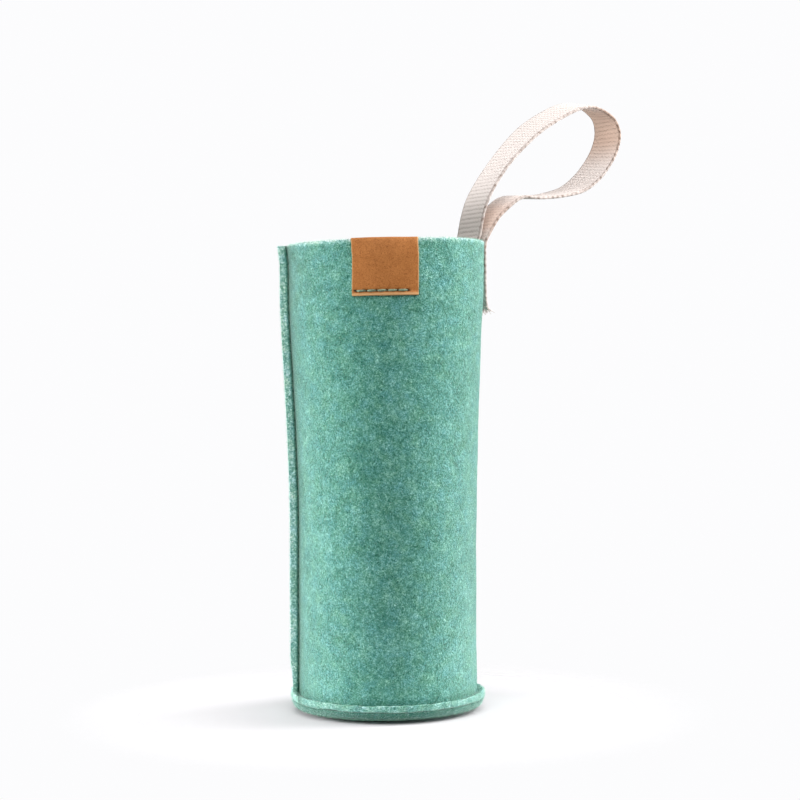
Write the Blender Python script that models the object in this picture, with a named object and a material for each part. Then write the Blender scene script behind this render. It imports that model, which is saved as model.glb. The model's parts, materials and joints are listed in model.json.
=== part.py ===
"""Felt bottle sleeve with a webbing carry loop, as separate sewn pieces.

One felt panel is sewn into a tube along an outside fin, and its turned-out bottom edge is sewn to a
round base. The mouth is pressed slightly oval. A folded tab label hangs over the front of the rim, and a
strap of cotton webbing is sewn through the wall beside the right end of the oval, one tail inside and one
outside, with the carry loop between them. Z is up, the base rests on z = 0, and the label faces -Y. All
sizes are in metres.
"""

import math

import bmesh
import bpy
from mathutils import Matrix, Vector

# Clearances
GAP = 0.0003  # between two pieces that touch
STRAND_ROOM = 0.0002  # between a thread and the side of its needle hole

# Felt sleeve
FELT = 0.003
POCKET_RADIUS = 0.037
SLEEVE_HEIGHT = 0.208
MOUTH_WIDTH = 0.0886  # across the outside of the oval mouth
MOUTH_SHIFT = 0.001  # the mouth's centre lies this far to +X
OVAL_START = 0.085  # the tube is round below this height, and fully oval along the sewn tails
FIN_ANGLE = math.radians(182)  # where the side seam's fin stands, about Z from +X
FIN_DEPTH = 0.004
FIN_BEND = 0.0019  # bend radius of the panel's middle layer at the fin's root
FLANGE_WIDTH = 0.003
SEAM_LIFT = 0.0022  # the sewn edge of the base stands this far off the floor
LIFT_WIDTH = 0.004  # width inside the wall over which the base rises to its sewn edge
BASE_UNDERCUT = 0.0015  # the base's cut edge slants in by this much towards the floor

# Tab label
LABEL_WIDTH = 0.0291
LABEL_DROP = 0.0245
LABEL_THICKNESS = 0.001
LABEL_SIDE = -0.0002  # the label's centre lies this far from the mouth's centre

# Carry strap
STRAP_WIDTH = 0.017
STRAP_THICKNESS = 0.0015
STRAP_ANGLE = math.radians(36)  # direction that the sewn wall faces, about Z from +X
STRAP_INSET = 0.0029  # how far the sewn-on strap flattens the oval wall
STRAP_EDGE = 0.0006  # from the flattened stretch's front corner to the strap's edge
TAIL_LENGTH = 0.028
TAIL_STOP = 0.003  # the outer tail ends this far below the rim, where the webbing bends
FACET_FADE = 0.045  # height over which the flattened stretch dies away below the tails
LOOP_START = 0.003  # height above the rim where the loop's outer leg begins
ROOT_INSET = 0.0001  # the loop's rounded root is this much thinner than the webbing on each side

# The carry loop's route in the strap's own plane, outwards and upwards from the rim's middle layer.
# Its first point stands over the inner tail and its last over the outer tail.
LOOP_ROUTE = (
    (-0.0012, 0.0045), (0.0034, 0.0146), (0.0085, 0.0254), (0.0157, 0.0350), (0.0251, 0.0453),
    (0.0357, 0.0544), (0.0458, 0.0610), (0.0563, 0.0665), (0.0657, 0.0697), (0.0747, 0.0698),
    (0.0819, 0.0668), (0.0861, 0.0612), (0.0863, 0.0547), (0.0826, 0.0464), (0.0755, 0.0382),
    (0.0659, 0.0310), (0.0547, 0.0271), (0.0419, 0.0249), (0.0290, 0.0244), (0.0209, 0.0209),
    (0.0146, 0.0159), (0.0085, 0.0092),
)
ROUTE_STEPS = 3  # straight pieces between two points of the route

# Stitching
THREAD = 0.0004
STRAND_SPACING = 0.0008  # between the two strands of needle thread in one hole
HOLE_OVERSHOOT = 0.0005  # a needle hole's tool reaches this far past the sewn layers
SEAM_STITCH = 0.0044
FIN_SEAM_INSET = 0.0034  # from the fin's free edge
BASE_SEAM_INSET = 0.002  # from the flange's edge
SEAM_END = 0.004  # from the first and last stitch to the end of the seam
LABEL_STITCH = 0.0046
LABEL_STITCHES = 5
LABEL_SEAM_HEIGHT = 0.0021  # above the label's lower edge
LABEL_SEAM_START = 0.0016  # from the label's left edge
STRAP_STITCH = 0.004
STRAP_STITCHES = 3
STRAP_LOWER_SEAM = 0.0045  # above the tails' lower ends
STRAP_UPPER_SEAM = 0.007  # below the rim

# Fineness of the curved shapes
WALL_STEP = math.radians(6.5)
BEND_STEPS = 3
RING_STEPS = 64
ROOT_STEPS = 12
OVAL_ROWS = 7
LABEL_COLUMNS = 6
FOLD_STEPS = 2

# Shape rules
PERIMETER_POWER = 1.5  # an oval keeps its length where its half axes' powers keep their sum
MERGE = 0.000001  # points closer than this are one
LEAST_FACING = 0.1  # cosine below which a direction points too far off the flattened stretch to meet it

# Sizes that follow
WALL_RADIUS = POCKET_RADIUS + FELT / 2
FLANGE_BOTTOM = SEAM_LIFT + FELT + GAP
FLANGE_TOP = FLANGE_BOTTOM + FELT
FLANGE_RADIUS = POCKET_RADIUS + FELT + FLANGE_WIDTH
PANEL_BOTTOM = FLANGE_BOTTOM + FELT / 2
LEAF_OFFSET = GAP / 2 + FELT / 2
TAIL_OFFSET = FELT / 2 + GAP + STRAP_THICKNESS / 2
TAIL_BOTTOM = SLEEVE_HEIGHT - TAIL_LENGTH
LOOP_ROOT = GAP + STRAP_THICKNESS / 2
HOLE_WIDTH = STRAND_SPACING + THREAD + 2 * STRAND_ROOM
HOLE_LENGTH = THREAD + 3 * STRAND_ROOM
THREAD_LIFT = THREAD / 2 + STRAND_ROOM / 2
LOOP_LIFT = THREAD_LIFT + THREAD + STRAND_ROOM / 2

FELT_GREEN = (0.140, 0.330, 0.260, 1.0)
THREAD_GREEN = (0.105, 0.215, 0.165, 1.0)
LABEL_TAN = (0.470, 0.195, 0.075, 1.0)
WEBBING_CREAM = (0.740, 0.680, 0.600, 1.0)


# ---------------------------------------------------------------- scene and materials


def clear_scene():
    """Removes every object of the scene."""
    for thing in list(bpy.data.objects):
        bpy.data.objects.remove(thing, do_unlink=True)


def make_material(name, colour, roughness):
    """Returns a Principled material of one colour."""
    material = bpy.data.materials.new(name)
    material.use_nodes = True
    shader = material.node_tree.nodes["Principled BSDF"]
    shader.inputs["Base Color"].default_value = colour
    shader.inputs["Roughness"].default_value = roughness
    shader.inputs["Metallic"].default_value = 0.0
    return material


def add_object(name, data, material=None):
    """Links an object of this mesh or curve to the scene."""
    thing = bpy.data.objects.new(name, data)
    bpy.context.scene.collection.objects.link(thing)
    if material:
        data.materials.append(material)
    return thing


def mesh_object(name, bm, material=None):
    """Writes a bmesh into a new object and frees it."""
    mesh = bpy.data.meshes.new(name)
    bm.to_mesh(mesh)
    bm.free()
    return add_object(name, mesh, material)


def add_empty(name, location, turn):
    """Adds an empty, turned about Z, that other objects are parented to."""
    empty = bpy.data.objects.new(name, None)
    empty.location = location
    empty.rotation_euler = (0.0, 0.0, turn)
    bpy.context.scene.collection.objects.link(empty)
    return empty


# ---------------------------------------------------------------- the wall's middle layer


def smoothstep(x):
    """Eases from 0 to 1."""
    x = min(max(x, 0.0), 1.0)
    return x * x * (3 - 2 * x)


def opened(z):
    """How far the tube has opened from round to oval at height z, from 0 to 1."""
    return smoothstep((z - OVAL_START) / (TAIL_BOTTOM - OVAL_START))


def half_axes(z):
    """Half width and half depth of the wall's middle layer, whose length round the tube is kept."""
    half_width = WALL_RADIUS + (MOUTH_WIDTH / 2 - FELT / 2 - WALL_RADIUS) * opened(z)
    power = 2 * WALL_RADIUS**PERIMETER_POWER - half_width**PERIMETER_POWER
    return half_width, power ** (1 / PERIMETER_POWER)


def centre_x(z):
    """X of the wall's centre at height z."""
    return MOUTH_SHIFT * opened(z)


def facet_distance(z):
    """Distance from the Z axis to the plane the strap flattens the wall to, which fades out below it."""
    a, b = half_axes(SLEEVE_HEIGHT)
    cos, sin = math.cos(STRAP_ANGLE), math.sin(STRAP_ANGLE)
    support = math.hypot(a * cos, b * sin) + MOUTH_SHIFT * cos
    held = smoothstep((z - TAIL_BOTTOM + FACET_FADE) / FACET_FADE)
    return support - STRAP_INSET * held


def wall_radius(angle, z):
    """Distance from the wall's centre to its middle layer in one direction."""
    a, b = half_axes(z)
    oval = a * b / math.hypot(b * math.cos(angle), a * math.sin(angle))
    facing = math.cos(angle - STRAP_ANGLE)
    if facing < LEAST_FACING:
        return oval
    return min(oval, (facet_distance(z) - centre_x(z) * math.cos(STRAP_ANGLE)) / facing)


def facet_corners():
    """Front and back ends of the flattened stretch at the rim, measured along it from the plane's foot."""
    a, b = half_axes(SLEEVE_HEIGHT)
    cos, sin = math.cos(STRAP_ANGLE), math.sin(STRAP_ANGLE)
    distance = facet_distance(SLEEVE_HEIGHT) - MOUTH_SHIFT * cos
    squared = (sin / a) ** 2 + (cos / b) ** 2
    linear = distance * cos * sin * (1 / b**2 - 1 / a**2)
    constant = distance**2 * ((cos / a) ** 2 + (sin / b) ** 2) - 1
    root = math.sqrt(linear**2 - squared * constant)
    return (-linear - root) / squared, (-linear + root) / squared


def facet_angles():
    """Directions of the flattened stretch's two corners from the mouth's centre."""
    distance = facet_distance(SLEEVE_HEIGHT) - MOUTH_SHIFT * math.cos(STRAP_ANGLE)
    return [STRAP_ANGLE + math.atan2(along, distance) for along in facet_corners()]


def strap_side():
    """The strap's centre line along the flattened stretch, measured from the plane's foot at the Z axis."""
    front = facet_corners()[0] - MOUTH_SHIFT * math.sin(STRAP_ANGLE)
    return front + STRAP_EDGE + STRAP_WIDTH / 2


# ---------------------------------------------------------------- felt


def spread(start, end, step):
    """Evenly spaced values after start and before end, no further apart than step."""
    count = max(1, math.ceil((end - start) / step))
    return [start + (end - start) * k / count for k in range(1, count)]


def fin_turn(z):
    """Angle from the fin's plane to where its bend meets the wall."""
    return math.asin((LEAF_OFFSET + FIN_BEND) / wall_radius(FIN_ANGLE, z))


def fin_points(z, side):
    """One fin leaf and its bend, from the free edge to the wall, as outward and sideways distances."""
    radius = wall_radius(FIN_ANGLE, z)
    bend_centre = radius * math.cos(fin_turn(z)) + FIN_BEND
    points = [(radius + FELT / 2 + FIN_DEPTH, side * LEAF_OFFSET)]
    for k in range(BEND_STEPS + 1):
        turned = math.radians(90) * k / BEND_STEPS
        outward = bend_centre - FIN_BEND * math.sin(turned)
        sideways = side * (LEAF_OFFSET + FIN_BEND - FIN_BEND * math.cos(turned))
        points.append((outward, sideways))
    return points


def from_fin(outward, sideways, z):
    """A point given by its distances along and across the fin's plane."""
    cos, sin = math.cos(FIN_ANGLE), math.sin(FIN_ANGLE)
    return Vector((centre_x(z) + outward * cos - sideways * sin, outward * sin + sideways * cos, z))


def panel_row(z):
    """The panel's middle layer at one height, from the front leaf's edge round to the back leaf's."""
    turn = fin_turn(SLEEVE_HEIGHT)
    front, back = (math.radians(360) + angle for angle in facet_angles())
    first, last = FIN_ANGLE + turn, FIN_ANGLE + math.radians(360) - turn
    angles = spread(first, front, WALL_STEP) + [front]
    angles += spread(front, back, WALL_STEP) + [back]
    angles += spread(back, last, WALL_STEP)
    wall = [polar(angle, z) for angle in angles]
    leaves = [[from_fin(*point, z) for point in fin_points(z, side)] for side in (1, -1)]
    return leaves[0] + wall + leaves[1][::-1]


def polar(angle, z):
    """A point of the wall's middle layer in one direction."""
    radius = wall_radius(angle, z)
    return Vector((centre_x(z) + radius * math.cos(angle), radius * math.sin(angle), z))


def lofted_sheet(name, rows, thickness, material):
    """A sheet through rows of points, thickened evenly to both sides."""
    columns = len(rows[0])
    bm = bmesh.new()
    bmesh.ops.create_grid(bm, x_segments=columns - 1, y_segments=len(rows) - 1, size=0.5)
    for vertex in bm.verts:
        column = round((vertex.co.x + 0.5) * (columns - 1))
        row = round((vertex.co.y + 0.5) * (len(rows) - 1))
        vertex.co = rows[row][column]
    sheet = mesh_object(name, bm, material)
    solidify = sheet.modifiers.new("thickness", "SOLIDIFY")
    solidify.thickness = thickness
    solidify.offset = 0.0
    solidify.use_even_offset = True
    return sheet


def turned(name, profile, material=None):
    """A body of revolution about Z from a closed profile, or from one whose two ends lie on the axis."""
    bm = bmesh.new()
    corners = [bm.verts.new((r, 0.0, z)) for r, z in profile]
    edges = [bm.edges.new(pair) for pair in zip(corners, corners[1:])]
    if profile[0][0] > 0:
        edges.append(bm.edges.new((corners[-1], corners[0])))
    bmesh.ops.spin(
        bm, geom=corners + edges, axis=(0, 0, 1), cent=(0, 0, 0), angle=math.radians(360),
        steps=RING_STEPS, use_merge=True,
    )
    bmesh.ops.remove_doubles(bm, verts=bm.verts, dist=MERGE)
    bmesh.ops.recalc_face_normals(bm, faces=bm.faces)
    return mesh_object(name, bm, material)


def as_tool(thing):
    """Marks an object as a shape that is only joined to or cut from others."""
    thing.hide_render = True
    thing.display_type = "WIRE"
    return thing


def boolean(thing, tool, operation="DIFFERENCE"):
    """Adds an exact Boolean with a tool object."""
    modifier = thing.modifiers.new(tool.name, "BOOLEAN")
    modifier.solver = "EXACT"
    modifier.operation = operation
    modifier.object = tool


def make_panel(material):
    """The felt panel: tube, fin and turned-out flange in one piece."""
    heights = [PANEL_BOTTOM, OVAL_START]
    heights += [OVAL_START + (TAIL_BOTTOM - OVAL_START) * k / OVAL_ROWS for k in range(1, OVAL_ROWS + 1)]
    heights.append(SLEEVE_HEIGHT)
    panel = lofted_sheet("felt_panel", [panel_row(z) for z in heights], FELT, material)
    inner, outer = WALL_RADIUS, FLANGE_RADIUS
    profile = ((inner, FLANGE_BOTTOM), (outer, FLANGE_BOTTOM), (outer, FLANGE_TOP), (inner, FLANGE_TOP))
    boolean(panel, as_tool(turned("flange_tool", profile)), "UNION")
    return panel


def make_base(material):
    """The round felt base, flat on the floor and rising to its sewn edge."""
    lift = POCKET_RADIUS - LIFT_WIDTH
    profile = (
        (0.0, 0.0), (lift, 0.0), (POCKET_RADIUS, SEAM_LIFT), (FLANGE_RADIUS - BASE_UNDERCUT, SEAM_LIFT),
        (FLANGE_RADIUS, SEAM_LIFT + FELT), (POCKET_RADIUS, SEAM_LIFT + FELT), (lift, FELT), (0.0, FELT),
    )
    return turned("felt_base", profile, material)


# ---------------------------------------------------------------- label


def front_point(x, z, offset):
    """A point off the front wall, x to the side of the mouth's centre, and the wall's normal there."""
    a, b = half_axes(z)
    y = -b * math.sqrt(1 - (x / a) ** 2)
    normal = Vector((x / a**2, y / b**2, 0.0)).normalized()
    return Vector((centre_x(z) + x, y, z)) + normal * offset, normal


def label_profile():
    """The folded label's middle layer, from the outer flap's edge over the rim to the inner flap's edge."""
    fold = GAP + LABEL_THICKNESS / 2
    side = FELT / 2 + fold
    bottom = SLEEVE_HEIGHT - LABEL_DROP
    profile = [(side, bottom), (side, bottom + LABEL_DROP / 2)]
    for k in range(FOLD_STEPS + 1):
        turned = math.radians(90) * k / FOLD_STEPS
        profile.append((FELT / 2 + fold * math.cos(turned), SLEEVE_HEIGHT + fold * math.sin(turned)))
    return profile + [(-offset, z) for offset, z in profile[::-1]]


def make_label(material):
    """The tab label, folded over the front of the rim."""
    rows = []
    for offset, z in label_profile():
        at = min(z, SLEEVE_HEIGHT)
        row = []
        for k in range(LABEL_COLUMNS + 1):
            x = LABEL_SIDE + LABEL_WIDTH * (k / LABEL_COLUMNS - 0.5)
            point, _ = front_point(x, at, offset)
            row.append(Vector((point.x, point.y, z)))
        rows.append(row)
    return lofted_sheet("tab_label", rows, LABEL_THICKNESS, material)


# ---------------------------------------------------------------- strap


def strap_sheet(name, route, material):
    """Webbing of the strap's width along a route in the strap's plane, in the strap's own axes."""
    rows = [[Vector((u, side * STRAP_WIDTH / 2, z)) for side in (-1, 1)] for u, z in route]
    return lofted_sheet(name, rows, STRAP_THICKNESS, material)


def smooth_route(points, steps):
    """Points on one smooth curve through the given ones, with the ends as they are."""
    padded = [points[0]] + list(points) + [points[-1]]
    route = []
    for k in range(len(points) - 1):
        p0, p1, p2, p3 = (Vector(p) for p in padded[k:k + 4])
        for step in range(steps):
            t = step / steps
            a = 2 * p1 + (p2 - p0) * t
            b = (2 * p0 - 5 * p1 + 4 * p2 - p3) * t**2
            c = (3 * p1 - p0 - 3 * p2 + p3) * t**3
            route.append(tuple((a + b + c) / 2))
    return route + [points[-1]]


def root_round():
    """Tool that rounds the loop's lower end about the axis it turns on."""
    bm = bmesh.new()
    radius = STRAP_THICKNESS / 2 - ROOT_INSET
    bmesh.ops.create_cone(
        bm, cap_ends=True, segments=ROOT_STEPS, radius1=radius, radius2=radius,
        depth=STRAP_WIDTH - 2 * ROOT_INSET, matrix=Matrix.Rotation(math.radians(90), 4, "X"),
    )
    return as_tool(mesh_object("root_tool", bm))


def make_strap(material):
    """The two sewn tails and the carry loop, which turns about the root of its inner leg."""
    out = Vector((math.cos(STRAP_ANGLE), math.sin(STRAP_ANGLE), 0.0))
    along = Vector((-out.y, out.x, 0.0))
    foot = out * facet_distance(SLEEVE_HEIGHT) + along * strap_side()
    foot.z = SLEEVE_HEIGHT
    seat = add_empty("strap_seat", foot, STRAP_ANGLE)

    inner_ends = ((-TAIL_OFFSET, -TAIL_LENGTH), (-TAIL_OFFSET, 0.0))
    outer_ends = ((TAIL_OFFSET, -TAIL_LENGTH), (TAIL_OFFSET, -TAIL_STOP))
    inner = strap_sheet("strap_tail_inner", inner_ends, material)
    outer = strap_sheet("strap_tail_outer", outer_ends, material)
    for tail in (inner, outer):
        tail.parent = seat

    hinge = add_empty("loop_hinge", foot - out * TAIL_OFFSET + Vector((0, 0, LOOP_ROOT)), STRAP_ANGLE)
    points = [(-TAIL_OFFSET, LOOP_ROOT), *LOOP_ROUTE, (TAIL_OFFSET + GAP, LOOP_START)]
    route = [(u + TAIL_OFFSET, z - LOOP_ROOT) for u, z in smooth_route(points, ROUTE_STEPS)]
    loop = strap_sheet("strap_loop", route, material)
    root = root_round()
    boolean(loop, root, "UNION")
    for piece in (loop, root):
        piece.parent = hinge
    return inner, outer, foot, out, along


# ---------------------------------------------------------------- stitching


def seam_holes(name, frames, depth):
    """Tool with one needle hole for each stitch point (place, outward normal, direction of the seam)."""
    bm = bmesh.new()
    reach = depth + 2 * HOLE_OVERSHOOT
    for place, normal, along in frames:
        across = along.cross(normal)
        made = bmesh.ops.create_cube(bm, size=1.0)
        for vertex in made["verts"]:
            x, y, z = vertex.co
            aside = across * (x * HOLE_WIDTH) + along * (y * HOLE_LENGTH)
            vertex.co = place + aside + normal * (z * reach - depth / 2)
    return as_tool(mesh_object(name, bm))


def thread_object(name, points, material):
    """One thread as a thin tube through the given points."""
    curve = bpy.data.curves.new(name, "CURVE")
    curve.dimensions = "3D"
    curve.bevel_depth = THREAD / 2
    curve.bevel_resolution = 0
    curve.use_fill_caps = True
    spline = curve.splines.new("POLY")
    spline.points.add(len(points) - 1)
    for target, point in zip(spline.points, points):
        target.co = (*point, 1.0)
    return add_object(name, curve, material)


def sew(name, frames, depth, pieces, material):
    """A lockstitch seam: cuts its needle holes and lays its needle and bobbin threads."""
    holes = seam_holes(name + "_holes_tool", frames, depth)
    for piece in pieces:
        boolean(piece, holes)
    needle, bobbin = [], []
    for place, normal, along in frames:
        aside = along.cross(normal) * STRAND_SPACING / 2
        top = place + normal * THREAD_LIFT
        bottom = place - normal * (depth + LOOP_LIFT)
        needle += [top - aside, bottom - aside, bottom + aside, top + aside]
        bobbin.append(place - normal * (depth + THREAD_LIFT))
    bobbin[0] -= frames[0][2] * HOLE_LENGTH
    bobbin[-1] += frames[-1][2] * HOLE_LENGTH
    thread_object(name + "_needle_thread", needle[1:-1], material)
    thread_object(name + "_bobbin_thread", bobbin, material)


def side_frames():
    """Stitch points up the front face of the fin."""
    normal = from_fin(0.0, 1.0, 0.0) - from_fin(0.0, 0.0, 0.0)
    first, last = FLANGE_TOP + SEAM_END, SLEEVE_HEIGHT - SEAM_END
    count = round((last - first) / SEAM_STITCH)
    frames = []
    for k in range(count + 1):
        z = first + (last - first) * k / count
        outward = wall_radius(FIN_ANGLE, z) + FELT / 2 + FIN_DEPTH - FIN_SEAM_INSET
        frames.append((from_fin(outward, GAP / 2 + FELT, z), normal, Vector((0, 0, 1))))
    return frames


def base_frames():
    """Stitch points round the top of the flange, from one side of the fin to the other."""
    radius = FLANGE_RADIUS - BASE_SEAM_INSET
    clear = math.asin((GAP / 2 + FELT + HOLE_LENGTH + SEAM_END / 2) / radius)
    start, end = FIN_ANGLE + clear, FIN_ANGLE + math.radians(360) - clear
    count = round((end - start) * radius / SEAM_STITCH)
    frames = []
    for k in range(count + 1):
        angle = start + (end - start) * k / count
        out = Vector((math.cos(angle), math.sin(angle), 0.0))
        place = out * radius + Vector((0, 0, FLANGE_TOP))
        frames.append((place, Vector((0, 0, 1)), Vector((-out.y, out.x, 0.0))))
    return frames


def label_frames():
    """Stitch points across the lower edge of the label's outer flap."""
    z = SLEEVE_HEIGHT - LABEL_DROP + LABEL_SEAM_HEIGHT
    frames = []
    for k in range(LABEL_STITCHES + 1):
        x = LABEL_SIDE - LABEL_WIDTH / 2 + LABEL_SEAM_START + LABEL_STITCH * k
        place, normal = front_point(x, z, FELT / 2 + GAP + LABEL_THICKNESS)
        frames.append((place, normal, Vector((-normal.y, normal.x, 0.0))))
    return frames


def strap_frames(foot, out, along, height):
    """Stitch points across the strap at one height, from the outer tail's face."""
    centre = foot + out * (TAIL_OFFSET + STRAP_THICKNESS / 2)
    centre.z = height
    sides = [STRAP_STITCH * (k - STRAP_STITCHES / 2) for k in range(STRAP_STITCHES + 1)]
    return [(centre + along * side, out, along) for side in sides]


# ---------------------------------------------------------------- assembly


def main():
    """Builds every piece of the sleeve."""
    clear_scene()
    felt = make_material("green_felt", FELT_GREEN, 0.95)
    thread = make_material("green_thread", THREAD_GREEN, 0.6)
    leather = make_material("tan_label", LABEL_TAN, 0.55)
    cotton = make_material("cream_webbing", WEBBING_CREAM, 0.85)

    panel = make_panel(felt)
    base = make_base(felt)
    label = make_label(leather)
    inner, outer, foot, out, along = make_strap(cotton)

    sew("side_seam", side_frames(), 2 * FELT + GAP, [panel], thread)
    sew("base_seam", base_frames(), FLANGE_TOP - SEAM_LIFT, [panel, base], thread)
    sew("label_seam", label_frames(), FELT + 2 * (GAP + LABEL_THICKNESS), [panel, label], thread)
    through_strap = FELT + 2 * (GAP + STRAP_THICKNESS)
    heights = {"lower": TAIL_BOTTOM + STRAP_LOWER_SEAM, "upper": SLEEVE_HEIGHT - STRAP_UPPER_SEAM}
    for row, height in heights.items():
        frames = strap_frames(foot, out, along, height)
        sew(f"strap_{row}_seam", frames, through_strap, [panel, inner, outer], thread)


main()
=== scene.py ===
"""A wool-felt bottle sleeve with a folded tab label and a webbing carry loop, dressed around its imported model.

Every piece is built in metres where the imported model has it, with Z up, the label facing -Y, the side seam
at -X and the strap beside +X.
"""

import json
import logging
import math
from dataclasses import dataclass, field
from enum import Enum
from functools import cached_property
from typing import Any, Callable, Iterable, Sequence

import bmesh
import bpy
import numpy as np
from mathutils import Matrix, Vector, noise


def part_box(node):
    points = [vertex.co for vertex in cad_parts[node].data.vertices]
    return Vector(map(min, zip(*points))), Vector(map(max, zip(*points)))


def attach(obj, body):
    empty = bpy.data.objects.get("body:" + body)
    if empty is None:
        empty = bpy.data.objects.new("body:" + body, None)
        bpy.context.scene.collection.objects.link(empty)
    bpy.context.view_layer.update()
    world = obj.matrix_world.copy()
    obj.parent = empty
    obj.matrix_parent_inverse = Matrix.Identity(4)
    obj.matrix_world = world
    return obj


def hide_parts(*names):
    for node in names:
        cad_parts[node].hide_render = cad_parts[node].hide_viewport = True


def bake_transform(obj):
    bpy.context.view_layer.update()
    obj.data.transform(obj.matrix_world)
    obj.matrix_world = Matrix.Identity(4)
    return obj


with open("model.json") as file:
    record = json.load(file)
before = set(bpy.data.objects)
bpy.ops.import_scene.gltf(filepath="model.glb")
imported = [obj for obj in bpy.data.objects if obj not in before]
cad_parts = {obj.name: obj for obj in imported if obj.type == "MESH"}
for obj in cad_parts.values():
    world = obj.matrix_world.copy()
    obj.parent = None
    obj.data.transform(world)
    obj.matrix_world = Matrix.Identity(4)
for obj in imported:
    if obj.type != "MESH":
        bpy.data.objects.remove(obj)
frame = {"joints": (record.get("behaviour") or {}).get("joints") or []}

log = logging.getLogger("sleeve")
Colour = tuple[float, float, float, float]
Pair = tuple[float, float]
Triple = tuple[float, float, float]
Strand = list[tuple[Vector, float]]
Places = list[tuple[Vector, Vector]]

RING_GAP = 1e-7
AXIS_GAP = 1e-6


# ------------------------------------------------------------------------------------------ small helpers


def eased(x: float) -> float:
    """Eases from 0 to 1 as x does."""
    x = min(max(x, 0.0), 1.0)
    return x * x * (3 - 2 * x)


def bell(x: float) -> float:
    """A bell of height 1 about 0."""
    return math.exp(-x * x)


@dataclass(frozen=True)
class Ramp:
    """A smooth rise from 0 to a height: how far below 0 it starts, how long it is, and the height."""

    start: float
    run: float
    height: float = 1.0

    def at(self, x: float) -> float:
        """How high the ramp is at x."""
        return self.height * eased((x + self.start) / self.run)


def spread(start: float, end: float, step: float) -> list[float]:
    """Evenly spaced values.

    Args:
        start: The first value.
        end: The last value.
        step: The largest distance between two values.

    Returns:
        The values, both ends among them.
    """
    count = max(1, math.ceil(abs(end - start) / step))
    return [start + (end - start) * k / count for k in range(count + 1)]


def above(height: float) -> Vector:
    """The point of the Z axis at a height."""
    return Vector((0.0, 0.0, height))


def beside(way: Vector) -> Vector:
    """The level direction a quarter turn to the left of another."""
    return Vector((-way.y, way.x, 0.0))


def off_axis(place: Vector) -> float:
    """A point's distance from the Z axis."""
    return math.hypot(place.x, place.y)


def bearing(place: Vector) -> float:
    """A point's direction from the Z axis."""
    return math.atan2(place.y, place.x)


def lumps(place: Vector, layers: Sequence[Pair]) -> float:
    """Smooth lumps about 0.

    Args:
        place: Where they are read.
        layers: For each size of lump, its height and how many there are in a metre.

    Returns:
        Their height together.
    """
    return sum(height * noise.noise(place * often) for height, often in layers)


def waves(angle: float, often: float, lane: float) -> float:
    """Smooth waves between -1 and 1 that run round the Z axis.

    Args:
        angle: Where they are read.
        often: How many there are in a radian.
        lane: Which of many such waves.

    Returns:
        Their height there.
    """
    return noise.noise(Vector((angle * often, lane, 0.0)))


def smooth_route(points: Sequence[Pair], steps: int) -> list[Vector]:
    """Points on one smooth curve through the given ones.

    Args:
        points: The points that the curve goes through.
        steps: How many pieces the curve has between two of them.

    Returns:
        The curve's points, with both ends as given.
    """
    padded = [points[0], *points, points[-1]]
    route = []
    for k in range(len(points) - 1):
        p0, p1, p2, p3 = (Vector(p) for p in padded[k:k + 4])
        for step in range(steps):
            t = step / steps
            a = 2 * p1 + (p2 - p0) * t
            b = (2 * p0 - 5 * p1 + 4 * p2 - p3) * t**2
            c = (3 * p1 - p0 - 3 * p2 + p3) * t**3
            route.append((a + b + c) / 2)
    return route + [Vector(points[-1])]


def evenly(route: Sequence[Vector], step: float) -> list[Vector]:
    """The same line with points the same distance apart in its plane.

    Args:
        route: The line's points, two places in the plane and any values that go with them.
        step: The wanted distance between two points.

    Returns:
        The line's new points.
    """
    line = np.array([tuple(p) for p in route])
    runs = np.concatenate([[0.0], np.cumsum(np.linalg.norm(np.diff(line[:, :2], axis=0), axis=1))])
    at = np.linspace(0.0, runs[-1], max(2, round(runs[-1] / step)) + 1)
    return [Vector(p) for p in np.stack([np.interp(at, runs, line[:, k]) for k in range(line.shape[1])], axis=1)]


# ------------------------------------------------------------------------------------------ meshes


def as_piece(bm: bmesh.types.BMesh, name: str) -> bpy.types.Object:
    """Turns a bmesh into a smooth-shaded object at the origin.

    Args:
        bm: The mesh, which is freed.
        name: The object's name.

    Returns:
        The new object.
    """
    mesh = bpy.data.meshes.new(name)
    bm.to_mesh(mesh)
    bm.free()
    mesh.shade_smooth()
    piece = bpy.data.objects.new(name, mesh)
    bpy.context.scene.collection.objects.link(piece)
    return piece


def lofted(name: str, rows: Sequence[Sequence[Vector]], flat: Sequence[Sequence[Pair]] | None = None,
           closed: bool = False) -> bpy.types.Object:
    """Bends a grid through rows of points.

    Args:
        name: The object's name.
        rows: The points, one list for each row.
        flat: Where each point lies on the cloth before it was bent, in metres.
        closed: Whether the rows are rings, whose last point is their first, to be capped at both ends.

    Returns:
        The new object.
    """
    columns = len(rows[0]) - 1
    bm = bmesh.new()
    bmesh.ops.create_grid(bm, x_segments=columns, y_segments=len(rows) - 1, size=0.5)
    place = {vertex: (round((vertex.co.y + 0.5) * (len(rows) - 1)), round((vertex.co.x + 0.5) * columns))
             for vertex in bm.verts}
    if flat:
        layer = bm.loops.layers.uv.new("cloth")
        for face in bm.faces:
            for loop in face.loops:
                row, column = place[loop.vert]
                loop[layer].uv = flat[row][column]
    for vertex, (row, column) in place.items():
        vertex.co = rows[row][column]
    if closed:
        bmesh.ops.remove_doubles(bm, verts=bm.verts, dist=RING_GAP)
        bmesh.ops.holes_fill(bm, edges=[edge for edge in bm.edges if edge.is_boundary])
        bmesh.ops.triangulate(bm, faces=[face for face in bm.faces if len(face.verts) > 4])
        bmesh.ops.recalc_face_normals(bm, faces=bm.faces)
    return as_piece(bm, name)


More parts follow.
